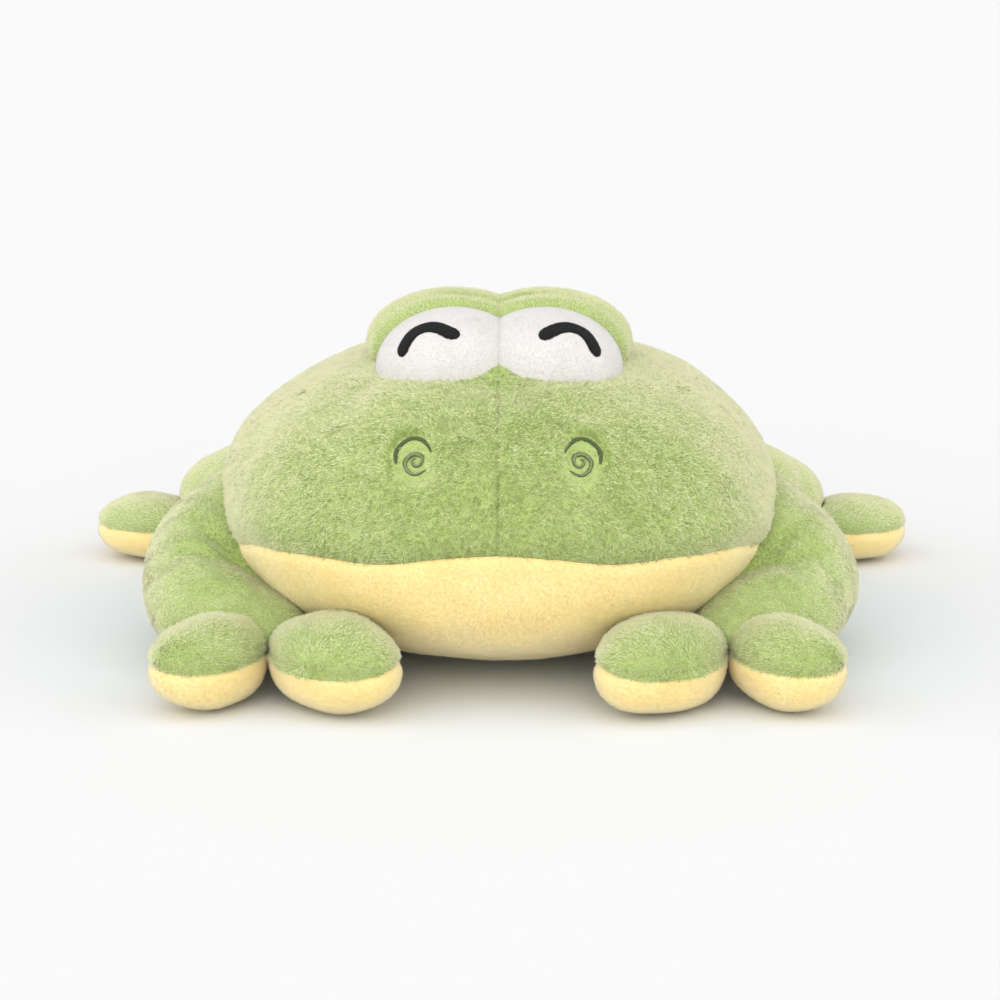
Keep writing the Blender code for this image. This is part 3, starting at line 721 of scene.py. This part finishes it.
def throughThree(values, t):
    first, middle, last = values
    return first * (2 * t - 1) * (t - 1) + middle * 4 * t * (1 - t) + last * t * (2 * t - 1)


def limbFrames(limb, t):
    middle = np.stack([throughThree(limb["points"][:, axis], t) for axis in range(3)], -1)
    a, b, c = limb["points"]
    t3 = t[..., None]
    forward = a * (4 * t3 - 3) + b * (4 - 8 * t3) + c * (4 * t3 - 1)
    forward = forward / np.linalg.norm(forward, axis=-1, keepdims=True)
    aside = np.cross(np.array([0.0, 0, 1]), forward)
    aside = aside / np.linalg.norm(aside, axis=-1, keepdims=True)
    upward = np.cross(forward, aside)
    return middle, forward, aside, upward


def inLimb(points, limb, margin=0.0):
    stations = np.linspace(0, 1, 61)
    middle, forward, aside, upward = limbFrames(limb, stations)
    width = throughThree(limb["halfWidths"], stations) - margin
    height = throughThree(limb["halfHeights"], stations) - margin
    ring = np.sqrt(1 - (2 * stations - 1) ** 2) ** (2 * limbBuild["blunt"])
    found = np.zeros(len(points), bool)
    step = np.linalg.norm(middle[1:] - middle[:-1], axis=1).max()
    for k in range(len(stations)):
        away = points - middle[k]
        near = np.abs(away @ forward[k]) < step
        share = ((away @ aside[k]) / width[k]) ** 2 + ((away @ upward[k]) / height[k]) ** 2
        found |= near & (share < ring[k])
    return found


def toeBall(limb, side, halfLength, halfWidth, halfHeight, distance, bearing, turn, roll):
    end = limb["points"][2]
    bearing, turn = math.radians(bearing), math.radians(turn)
    x = end[0] + distance * mm * side * math.sin(bearing)
    y = end[1] - distance * mm * math.cos(bearing)
    return {
        "centre": (x, y, halfHeight * mm - toeBuild["pressed"]),
        "half": (halfWidth * mm, halfLength * mm, halfHeight * mm),
        "turn": side * turn, "tilt": side * math.radians(roll),
    }


limbs, toes = {}, {}
for sideName, side in sides.items():
    for kind, shape in limbShapes.items():
        limb = limbs[f"{sideName}_{kind}"] = makeLimb(kind, side)
        for which, sizes in shape["toes"].items():
            toes[f"{sideName}_{kind}_{which}_toe"] = toeBall(limb, side, *sizes)


def inLimbs(points, margin=0.0):
    inside = np.any([inLimb(points, limb, margin) for limb in limbs.values()], axis=0)
    return inside | inBalls(points, toes.values(), margin)


# Threads: short strands side by side across a route, arched over it. A real one is 0.3 mm thick: these
# are drawn 0.5 mm thick, so that they show

spiral = {  # bearing in degrees and radius in mm, from the outer end to the middle
    "route": [(-30, 6.7), (-50, 5.8), (-106, 5.7), (-187, 5.3), (-274, 5.4), (-337, 4.3), (-371, 3.4),
              (-419, 2.4), (-484, 1.5), (-567, 1.35), (-650, 0.8)],
    "stretch": 1.08, "pitch": 0.42 * mm, "width": 2.6 * mm, "radius": 0.27 * mm, "lift": 1.0 * mm,
    "sunk": 0.1 * mm, "slant": 0.5, "seed": 61, "shine": 1.0,
    "profile": ([0, 0.1, 0.25, 0.6, 0.7, 1], [0.4, 0.75, 1, 1.0, 1.0, 0.6]),  # share of the width along it
}
brow = {
    "route": [(184, 9.9), (168, 10.5), (150, 10.9), (128, 10.6), (105, 10.7), (85, 11.1), (66, 11.2),
              (48, 10.7), (34, 10.2)],
    "stretch": 1.04, "pitch": 0.42 * mm, "width": 3.0 * mm, "radius": 0.27 * mm, "lift": 1.0 * mm,
    # the brow is a real thread, painted deeper than the spiral's: painted shade of the crease it lies in
    "sunk": 0.15 * mm, "slant": 0.6, "seed": 62, "shine": 0.15,
    "profile": ([0, 0.15, 0.5, 0.75, 1], [0.4, 1, 1, 0.9, 0.25]),
}
smile = {  # shares of the eye dome's half width and half height
    "route": [(0.632, 0.353), (0.591, 0.482), (0.536, 0.596), (0.456, 0.703), (0.353, 0.77),
              (0.231, 0.803), (0.106, 0.784), (-0.004, 0.724), (-0.089, 0.67), (-0.141, 0.631)],
    "pitch": 0.4 * mm, "width": 8.8 * mm, "radius": 0.26 * mm, "lift": 1.0 * mm,
    "sunk": 0.2 * mm, "slant": 0.12, "seed": 63, "shine": 1.0,
    "profile": ([0, 0.02, 0.05, 0.1, 0.9, 0.95, 0.98, 1], [0.3, 0.62, 0.85, 1, 1, 0.85, 0.62, 0.3]),
}


def smoothPath(points, count):
    points = np.array(points, float)
    wide = np.vstack([2 * points[0] - points[1], points, 2 * points[-1] - points[-2]])
    place = np.linspace(0, len(points) - 1 - 1e-9, count)
    first = place.astype(int)
    f = (place - first)[:, None]
    a, b, c, d = (wide[first + step] for step in range(4))
    return 0.5 * (2 * b + (c - a) * f + (2 * a - 5 * b + 4 * c - d) * f**2 + (3 * b - a - 3 * c + d) * f**3)


def stitchBand(name, route, normals, stitch, yarn, slot):
    run = np.concatenate([[0], np.cumsum(np.linalg.norm(np.diff(route, axis=0), axis=1))])
    count = int(run[-1] / stitch["pitch"])
    at = (np.arange(count) + 0.5) / count * run[-1]
    heading = np.gradient(route, run, axis=0)
    spots, outs, ahead = (
        np.stack([np.interp(at, run, values[:, axis]) for axis in range(3)], 1)
        for values in (route, normals, heading))
    outs = unitRows(outs)
    ahead = tangent(ahead, outs)
    aside = np.cross(outs, ahead)
    draw = np.random.default_rng(stitch["seed"])
    half = stitch["width"] / 2 * np.interp(at / run[-1], *stitch["profile"])
    half = half * draw.uniform(0.96, 1.04, count)
    u = np.linspace(-1, 1, 9)[None, :, None]
    way = aside + ahead * stitch["slant"]
    rise = stitch["lift"] * (1 - u**4) * (half / stitch["width"] * 2)[:, None, None] ** 0.5 - stitch["sunk"]
    middle = spots[:, None] + way[:, None] * u * half[:, None, None] + outs[:, None] * rise
    turns = np.linspace(0, 2 * math.pi, 7)[:-1]
    thick = stitch["radius"] * (1 - 0.5 * u**6)
    ring = np.cos(turns)[:, None] * ahead[:, None, None] + np.sin(turns)[:, None] * outs[:, None, None]
    points = middle[:, :, None] + ring * thick[..., None]
    index = np.arange(points[..., 0].size).reshape(points.shape[:3])
    after = np.roll(index, -1, axis=2)
    quads = np.stack([index[:, :-1], after[:, :-1], after[:, 1:], index[:, 1:]], -1).reshape(-1, 4)
    caps = np.concatenate([index[:, 0, ::-1], index[:, -1]])
    mesh = bpy.data.meshes.new(name)
    mesh.from_pydata(points.reshape(-1, 3).tolist(), [], quads.tolist() + caps.tolist())
    tone = np.clip(0.5 + draw.normal(0, 0.2, count), 0.02, 0.98)[:, None, None] + 0 * index
    # painted highlight along the middle of each strand, where the band is highest, and painted shade at its
    # ends; shine sets how much
    reach = (1 - np.abs(u)) * stitch["shine"] + 0.0 * index
    shadeMesh(mesh, tone, reach, readMesh(mesh.loops, "vertex_index", np.int32, 1))
    whole = bmesh.new()
    whole.from_mesh(mesh)
    bmesh.ops.recalc_face_normals(whole, faces=whole.faces)
    for face in whole.faces:
        face.smooth = len(face.verts) == 4
    whole.to_mesh(mesh)
    whole.free()
    obj = linkObject(name, mesh)
    obj.data.materials.append(yarn)
    return obj


def nearRoute(points, route, gap):
    near = np.zeros(len(points), bool)
    close = np.linalg.norm(points - route.mean(0), axis=1) < np.ptp(route, axis=0).max() + gap
    away = np.linalg.norm(points[close, None] - route[None, ::2], axis=2).min(1)
    near[close] = away < gap
    return near


def faceRoute(stitch, side):
    bearing, radius = smoothPath(stitch["route"], 160).T
    x = side * (nostril["outward"] - radius * mm * stitch["stretch"] * np.cos(np.radians(bearing)))
    z = nostril["height"] + radius * mm * np.sin(np.radians(bearing))
    return facePoints(x, z, -greenFur["settle"]), faceNormals(x, z)


nostrilStitches = {"spiral": spiral, "brow": brow}
faceRoutes = {(which, sideName): faceRoute(stitch, side)
              for which, stitch in nostrilStitches.items() for sideName, side in sides.items()}


def underThreads(points):
    return np.any([nearRoute(points, route, 1.4 * mm) for route, _ in faceRoutes.values()], axis=0)


# Body panels: two backs that meet at the spine, and one belly

bodyShade = {  # painted shade: deeper in the pinch over each nostril, in the spine's seam and down the middle of the face
    "pinch": 0.9, "pinchWidth": 2.6 * mm, "pinchBearing": math.radians(40),
    "spine": 0.8, "spineWidth": 1.5 * mm, "face": 0.16, "faceWidth": 75 * mm,
    "rim": 0.12, "rimRadius": 16.5 * mm, "rimWidth": 3 * mm,  # a painted highlight makes the dishes' rims paler
}


def panelGrid(bearings, topRows, lowRows):
    polar = np.linspace(0, math.pi, 721)

    def meridian(bearing, angles):
        return np.stack([
            np.sin(angles) * math.cos(bearing), np.sin(angles) * math.sin(bearing), np.cos(angles)], 1)

    topGrid = np.empty((topRows, len(bearings), 3))
    lowGrid = np.empty((lowRows, len(bearings), 3))
    for column, bearing in enumerate(bearings):
        line = eggPoints(meridian(bearing, polar))
        over = line[:, 2] - mouthLine(line[:, 0], line[:, 1])
        crossing = np.argmax(over < 0)
        share = over[crossing - 1] / (over[crossing - 1] - over[crossing])
        edge = polar[crossing - 1] + share * (polar[1] - polar[0])
        topGrid[:, column] = meridian(bearing, edge * np.linspace(0, 1, topRows) ** 0.85)
        lowGrid[:, column] = meridian(bearing, edge + (math.pi - edge) * np.linspace(0, 1, lowRows) ** 1.1)
    return topGrid, lowGrid


def bellyComb(spots, parting=0.0):  # down and outward
    x = spots[:, 0]
    out = parting * soften(np.abs(x) / (20 * mm)) * np.sign(x) + 0.9 * x / body["halfWidth"]
    return np.stack([out, 0.35 + 0 * x, -0.75 + 0 * x], 1)


def bodyComb(spots):  # the same, and parted at the spine
    return bellyComb(spots, 0.2)


# painted shade in the pinch, the spine's seam and down the face, and a painted highlight on the dishes'
# rims
def bodyPaintedShade(spots):
    x = spots[:, 0]
    away, bearing, facing = nostrilSpot(spots)
    pinch = hump(away - nostril["pinchRadius"], bodyShade["pinchWidth"]) * facing
    pinch = pinch * soften(np.cos(bearing - bodyShade["pinchBearing"]))
    gathered = 0.6 + 0.5 * waves(spots, 9 * mm, 6)
    deep = bodyShade["spine"] * hump(x, bodyShade["spineWidth"]) * gathered
    deep += bodyShade["face"] * hump(x, bodyShade["faceWidth"]) * facing
    rim = bodyShade["rim"] * hump(away - bodyShade["rimRadius"], bodyShade["rimWidth"]) * facing
    return -bodyShade["pinch"] * pinch - deep + rim


def bodyGrowth(spots):  # shorter at the spine's seam, in the nostrils' dishes and between the eyes
    x, y, z = spots.T
    away, _, facing = nostrilSpot(spots)
    dish = 1 - soften((away - 10.5 * mm) / (4 * mm))
    between = hump(x, 14 * mm) * hump(y + bridge["ahead"] + 4 * mm, 16 * mm) * (z > bridge["above"])
    return (1 - 0.2 * hump(x, 2 * mm)) * (1 - 0.42 * dish * facing) * (1 - 0.45 * between)


def bellyGrowth(spots):  # shorter at the mouth's seam and where the frog lies on it
    x, y, z = spots.T
    return (1 - 0.25 * hump(z - mouthLine(x, y), 3 * mm)) * (0.45 + 0.55 * soften(z / (6 * mm)))


def dressBody():
    for sideName, side in sides.items():
        bearings = np.linspace(-math.pi / 2, math.pi / 2, 121)
        top, _ = panelGrid(bearings if side > 0 else math.pi - bearings, 90, 2)
        panel = sheetObject(f"back_{sideName}_panel", bodySurface(top, -greenFur["settle"]))
        pieces = sewPanel(
            panel, f"back_{sideName}_skin", "green_pile", greenFur, bodyComb, 100 + side,
            fill=body["fill"], growth=bodyGrowth, tone=bodyPaintedShade,
            keep=lambda p: ~inEyes(p, 2.5 * mm) & ~inLimbs(p, hidden["rootPile"]) & ~underThreads(p))
        for which, stitch in nostrilStitches.items():
            node = f"{sideName}_nostril_{which}"
            threads = stitchBand(f"{node}_threads", *faceRoutes[which, sideName], stitch,
                                 greenThread, "green_thread")
            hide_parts(node)
            pieces.append(threads)
        for piece in pieces:
            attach(piece, "body")
    _, low = panelGrid(np.linspace(-math.pi / 2, 1.5 * math.pi, 241), 2, 60)
    panel = sheetObject("belly_panel", bodySurface(low, -yellowFur["settle"]))
    pieces = sewPanel(
        panel, "belly_skin", "yellow_pile", yellowFur, bellyComb, 111,
        fill=body["fill"], growth=bellyGrowth,
        keep=lambda p: ~inLimbs(p, hidden["rootPile"]) & (p[:, 2] > pileFloor))
    inner = bodySurface(ballDirections(60, 97), -body["fibreDepth"])
    pieces.append(stuff("body_fibrefill", inner, "body_stuffing"))
    for piece in pieces:
        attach(piece, "body")


dressBody()
print("body dressed")


# Eyes: a dome of fleece with the stitched smile, in a hood of plush

def dressEye(sideName, side):
    eye, hood = eyeBall(side), hoodBall(side)

    def ownSide(points):
        return side * points[:, 0] > -eyeDome["overlap"]

    def hoodFold(points):  # the distance from the dome's rim, and how deep in the fold along it
        rim = (np.linalg.norm(ballShare(points, eye), axis=1) - 1) * eye["half"][2]
        inward = soften(0.5 - side * (points[:, 0] - hood["centre"][0]) / (40 * mm))
        uneven = 0.7 + 0.3 * waves(points, 30 * mm, 5)
        return rim, hump(rim - eyeHood["foldOut"], eyeHood["foldWidth"]) * uneven * inward

    directions = ballDirections(60, 97)
    dome = sheetObject(f"{sideName}_eye_dome", ballPoints(directions, eye, -whiteFur["settle"]),
                       keep=lambda p: ownSide(p) & ~inEgg(p, hidden["panel"]))
    share = smoothPath([(side * x, z) for x, z in smile["route"]], 90)
    forward = np.stack([share[:, 0], -np.sqrt(1 - (share**2).sum(1)), share[:, 1]], 1)
    route = ballPoints(forward, eye, -whiteFur["settle"])
    outs = unitRows(forward / np.array(eye["half"]) @ ballAxes(eye).T)
    threads = stitchBand(f"{sideName}_smile_threads", route, outs, smile, blackThread, "black_thread")
    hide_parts(f"{sideName}_eye_smile")
    pieces = sewPanel(
        dome, f"{sideName}_eye_white", "white_nap", whiteFur,
        lambda p: 0 * p + np.array([0.3 * side, 0.2, -1]), 200 + side, fill=eyeDome["fill"], cloth="nap",
        keep=lambda p: (~inBall(p, hood, 2 * mm) & ~inEgg(p, 0) & ownSide(p)
                        & ~nearRoute(p, route, 2.6 * mm)))
    inner = ballPoints(ballDirections(40, 49), eye, -eyeDome["fibreDepth"])
    share = 1 - (inner[..., 0] / body["halfWidth"]) ** 2 - (inner[..., 1] / body["halfLength"]) ** 2
    inner[..., 2] = np.maximum(inner[..., 2], body["equator"] + body["rise"] * np.sqrt(share) + 2 * mm)
    inner[..., 0] = side * np.maximum(side * inner[..., 0], 1 * mm)
    fill = stuff(f"{sideName}_eye_fibrefill", inner, f"{sideName}_eye_stuffing")

    grid = ballPoints(directions, hood, -greenFur["settle"])
    outward = directions / np.array(hood["half"]) @ ballAxes(hood).T
    outward /= np.linalg.norm(outward, axis=-1, keepdims=True)
    rim, fold = hoodFold(grid.reshape(-1, 3))
    relief = eyeHood["rimHeight"] * hump(rim - eyeHood["rimOut"], eyeHood["rimWidth"])
    relief = (relief - eyeHood["foldDepth"] * fold).reshape(grid.shape[:2])
    roll = sheetObject(
        f"{sideName}_hood_roll", grid + outward * relief[..., None],
        keep=lambda p: ownSide(p) & ~inEgg(p, hidden["panel"]) & ~inBall(p, eye, hidden["panel"]))
    pieces += sewPanel(
        roll, f"{sideName}_eye_hood", "green_pile", hoodFur,
        lambda p: (p - np.array(eye["centre"])) * np.array([1, 0, 1]) + np.array([0, 0.04, 0]), 210 + side,
        fill=eyeHood["fill"], keep=lambda p: ~inBall(p, eye, 0.5 * mm) & ~inEgg(p, 0) & ownSide(p),
        # painted light on the hood's pile, less the painted shade in its fold
        tone=lambda p: eyeHood["tone"] - eyeHood["foldTone"] * hoodFold(p)[1])
    for piece in (*pieces, threads, fill):
        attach(piece, "body")


for sideName, side in sides.items():
    dressEye(sideName, side)
print("eyes dressed")


# Limb panels: green above the seam and yellow below it, each limb's skin running on inside the body at its
# root

def limbGrid(limb, grow, part, rows=90, columns=72):
    share = np.linspace(0, 1, rows)
    along = -np.cos(math.pi * share)
    t = (1 + along) / 2
    middle, forward, aside, upward = limbFrames(limb, t)
    width = throughThree(limb["halfWidths"], t) + grow
    height = throughThree(limb["halfHeights"], t) + grow
    ring = np.sin(math.pi * share).clip(0) ** limbBuild["blunt"]
    dip = (limbBuild["seam"] - middle[:, 2]) / (upward[:, 2] * height * ring).clip(1e-6)
    edge = np.arcsin(dip.clip(-1, 1))
    start, span = {
        "upper": (edge, math.pi - 2 * edge),
        "sole": (math.pi - edge, math.pi + 2 * edge),
        "whole": (0 * edge, 2 * math.pi + 0 * edge),
    }[part]
    angle = start[:, None] + span[:, None] * np.linspace(0, 1, columns)
    across = (width * ring)[:, None, None] * np.cos(angle)[..., None] * aside[:, None, :]
    up = (height * ring)[:, None, None] * np.sin(angle)[..., None] * upward[:, None, :]
    return middle[:, None, :] + (forward * along[:, None] * grow)[:, None, :] + across + up


def softened(grid, relief, centre, floorAt):
    flat = grid.reshape(-1, 3)
    outward = np.gradient(grid, axis=0)
    closed = np.allclose(grid[:, 0], grid[:, -1])
    ring = np.concatenate([grid[:, -2:-1], grid, grid[:, 1:2]], 1) if closed else grid
    across = np.gradient(ring, axis=1)[:, 1:-1] if closed else np.gradient(ring, axis=1)
    normals = unitRows(np.cross(outward, across).reshape(-1, 3))
    if ((flat - centre) * normals).sum() < 0:
        normals = -normals
    points = flat + normals * relief(flat)[:, None]
    points[:, 2] = points[:, 2].clip(floorAt)
    return points.reshape(grid.shape)


def armpitFolds(points, side):  # how deep in the folds, and how near to where they meet
    mirror = np.array([side, 1, 1])
    away = (points - armpit["spot"] * mirror) * mirror
    out = np.linalg.norm(away, axis=1)
    depth = np.zeros(len(points))
    for turn, deepest, length in armpit["folds"]:
        off = away @ np.array([-math.sin(turn), 0.23 * math.cos(turn), 0.97 * math.cos(turn)])
        fading = (0.3 + 0.7 * soften(out / (25 * mm))) * (1 - soften(out / length))
        depth += deepest * hump(off, armpit["foldWidth"]) * fading
    return depth, hump(out, armpit["shadeWidth"])


def dressLimb(name, side, limb):
    ownToes = [toe for toeName, toe in toes.items() if toeName.startswith(name)]
    folded = limb["kind"] == "arm"

    def outside(points, inBody, inToe=0.0):
        return ~inEgg(points, inBody) & ~inBalls(points, ownToes, inToe)

    def relief(points):
        sunken = -seam["limbDepth"] * hump(points[:, 2] - limbBuild["seam"], seam["limbWidth"])
        lumps = 1.2 * mm * waves(points, 60 * mm, 8) + 0.5 * mm * waves(points, 25 * mm, 9)
        return sunken + lumps - (armpitFolds(points, side)[0] if folded else 0)

    def tone(points):  # painted shade in the armpit and along its folds
        depth, near = armpitFolds(points, side) if folded else (0, 0)
        return limbBuild["tone"] - 0.16 * depth / mm - armpit["shade"] * near

    def comb(points):  # from root to end
        root, _, end = limb["points"]
        return (end - root) * 8 + np.array([side * 0.3, 0, -0.5]) + 0 * points

    made = []
    for part, slot, fur, seed, fill in (
            ("upper", "green_pile", armFur, 300, limbBuild["fill"]),
            ("sole", "yellow_pile", yellowFur, 302, None)):
        grid = softened(limbGrid(limb, -greenFur["settle"], part), relief, limb["points"][1], 1.0 * mm)
        panel = sheetObject(f"{name}_{part}_panel", grid,
                            keep=lambda p: outside(p, hidden["root"], hidden["panel"]))
        made += sewPanel(panel, f"{name}_{part}_skin", slot, fur, comb, seed + side, fill=fill,
                         keep=lambda p: outside(p, hidden["rootPile"]), tone=tone)
    inner = limbGrid(limb, -limbBuild["fibreDepth"], "whole", 40, 33)
    made.append(stuff(f"{name}_fibrefill", inner, f"{name}_stuffing"))
    for piece in made:
        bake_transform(piece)


def dressToe(toeName, limbName, toe):
    limb = limbs[limbName]
    others = [shape for name, shape in toes.items() if name.startswith(limbName) and name < toeName]
    centre = np.array(toe["centre"])
    outward = centre * np.array([1, 1, 0])
    outward = outward / np.linalg.norm(outward)
    whorl = centre + outward * limb["whorl"] * toe["half"][1] + np.array([0, 0, 0.25 * toe["half"][2]])
    seamHeight = centre[2] + toe["half"][2] * math.cos(toeBuild["seamPolar"])

    def outside(points, margin=0.0):
        return ~inEgg(points, margin) & ~inLimb(points, limb, margin) & ~inBalls(points, others, margin)

    def relief(points):
        sunken = -seam["limbDepth"] * hump(points[:, 2] - seamHeight, seam["limbWidth"])
        return sunken + 0.7 * mm * waves(points, 35 * mm, 15)

    made = []
    for part, polar, slot, fur, longer, seed, fill in (
            ("top", (0, toeBuild["seamPolar"]), "green_pile", toeFur, 0.1, 401, toeBuild["fill"]),
            ("sole", (toeBuild["seamPolar"], math.pi), "yellow_pile", yellowFur, -0.2, 402, None)):
        directions = blunted(ballDirections(28, 97, *polar), toeBuild["blunt"])
        grid = softened(ballPoints(directions, toe, -greenFur["settle"]), relief, centre, 0.8 * mm)
        panel = sheetObject(f"{toeName}_{part}_panel", grid,
                            keep=lambda p: outside(p, hidden["toe"]))
        made += sewPanel(
            panel, f"{toeName}_{part}_skin", slot, fur, lambda p: p - whorl, seed + len(toeName), fill=fill,
            # painted light on the toes' pile, as set for each limb
            keep=lambda p: outside(p) & (p[:, 2] > pileFloor), tone=limb["toeTone"],
            growth=lambda p: 1 + longer * hump(p[:, 2] - seamHeight, 3.5 * mm))
    inner = ballPoints(ballDirections(30, 41), toe, -toeBuild["fibreDepth"])
    made.append(stuff(f"{toeName}_fibrefill", inner, f"{toeName}_stuffing"))
    for piece in made:
        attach(piece, limbName)


for limbName, limb in limbs.items():
    dressLimb(limbName, sides[limbName.split("_")[0]], limb)
for toeName, toe in toes.items():
    dressToe(toeName, "_".join(toeName.split("_")[:2]), toe)
print("limbs dressed")


# Floor, light and camera

sweep = {
    "half": 30,  # metres
    "colour": "#EDEDED",
    "middleColour": "#E0E8F2",  # painted: the paper is drawn a touch cooler under the frog, against the warm light its yellow belly bounces into the shadow
    "middleScale": 2.7,
}
room = {
    "seen": "#FAFAFA",
    "fill": (1.0, 0.98, 0.955, 1),
    "fillStrength": 0.56,
    "lampColour": (0.95, 0.975, 1.0),  # a touch cool, as the fill is a touch warm: together neutral
}
softboxes = {  # energy, apparent size, height and bearing in degrees: low in front, above, at the sides
    "frontSoftbox": (1.86, 75, 10, -6),
    "topSoftbox": (0.65, 70, 72, 0),
    "leftSoftbox": (0.95, 60, 26, -75),
    "rightSoftbox": (0.88, 60, 26, 75),
}
# metres, degrees and a lens in mm
view = {"distance": 1.653, "elevation": 13.5, "azimuth": 0.45, "aimHeight": 0.0783, "lens": 36 * 2.751}

# painted paper is fully matt
paperMaterial, tree = newMaterial("paintedPaperSweep")
place = addNode(tree, "ShaderNodeTexCoord")
around = addNode(tree, "ShaderNodeMapping", inputs={
    "Vector": (place, "Object"), "Scale": (sweep["middleScale"],) * 3})
# a painted cool pool under the frog, against the yellow bounce in its shadow
middle = addNode(tree, "ShaderNodeTexGradient", {"gradient_type": "SPHERICAL"}, {
    "Vector": (around, "Vector")})
paper = addNode(tree, "ShaderNodeValToRGB", inputs={"Fac": (middle, "Fac")}, stops=[
    (0.0, sweep["colour"]), (1.0, sweep["middleColour"])])
paper.color_ramp.interpolation = "EASE"
shader = addNode(tree, "ShaderNodeBsdfPrincipled", inputs={
    "Base Color": (paper, "Color"), "Roughness": 1.0, "Specular IOR Level": 0.0})
addNode(tree, "ShaderNodeOutputMaterial", inputs={"Surface": (shader, "BSDF")})
half = sweep["half"]
floorMesh = bpy.data.meshes.new("paper_sweep")
corners = [(-half, -half, 0), (half, -half, 0), (half, half, 0), (-half, half, 0)]
floorMesh.from_pydata(corners, [], [(0, 1, 2, 3)])
floor = linkObject("paper_sweep", floorMesh)
floor.data.materials.append(paperMaterial)

world = bpy.data.worlds.new("softboxRoom")
bpy.context.scene.world = world
world.use_nodes = True
tree = world.node_tree
tree.nodes.clear()
path = addNode(tree, "ShaderNodeLightPath")
shiny = addNode(tree, "ShaderNodeMath", {"operation": "MAXIMUM"}, {
    0: (path, "Is Glossy Ray"), 1: (path, "Is Transmission Ray")})
direct = addNode(tree, "ShaderNodeMath", {"operation": "MAXIMUM"}, {
    0: (path, "Is Camera Ray"), 1: (shiny, 0)})
seen = addNode(tree, "ShaderNodeBackground", inputs={"Color": linearColour(room["seen"]), "Strength": 1.0})
fill = addNode(tree, "ShaderNodeBackground", inputs={
    "Color": room["fill"], "Strength": room["fillStrength"]})
mix = addNode(tree, "ShaderNodeMixShader", inputs={0: (direct, 0)})
tree.links.new(fill.outputs[0], mix.inputs[1])
tree.links.new(seen.outputs[0], mix.inputs[2])
addNode(tree, "ShaderNodeOutputWorld", inputs={"Surface": (mix, 0)})

for lampName, (energy, size, height, bearing) in softboxes.items():
    lamp = linkObject(lampName, bpy.data.lights.new(lampName, "SUN"))
    lamp.data.energy = energy
    lamp.data.angle = math.radians(size)
    lamp.data.color = room["lampColour"]
    lamp.rotation_euler = (math.radians(90 - height), 0, math.radians(bearing))

elevation, azimuth = math.radians(view["elevation"]), math.radians(view["azimuth"])
level = math.cos(elevation)
away = Vector((math.sin(azimuth) * level, -math.cos(azimuth) * level, math.sin(elevation)))
camera = linkObject("camera", bpy.data.cameras.new("camera"))
camera.data.sensor_width = 36
camera.data.lens = view["lens"]
camera.location = Vector((0, 0, view["aimHeight"])) + view["distance"] * away
camera.rotation_euler = (-away).to_track_quat("-Z", "Y").to_euler()
bpy.context.scene.camera = camera
bpy.context.scene.view_settings.view_transform = "Standard"

meshes = [obj for obj in bpy.context.scene.objects if obj.type == "MESH"]
print(len(meshes), "meshes,", sum(len(obj.data.polygons) for obj in meshes), "faces")
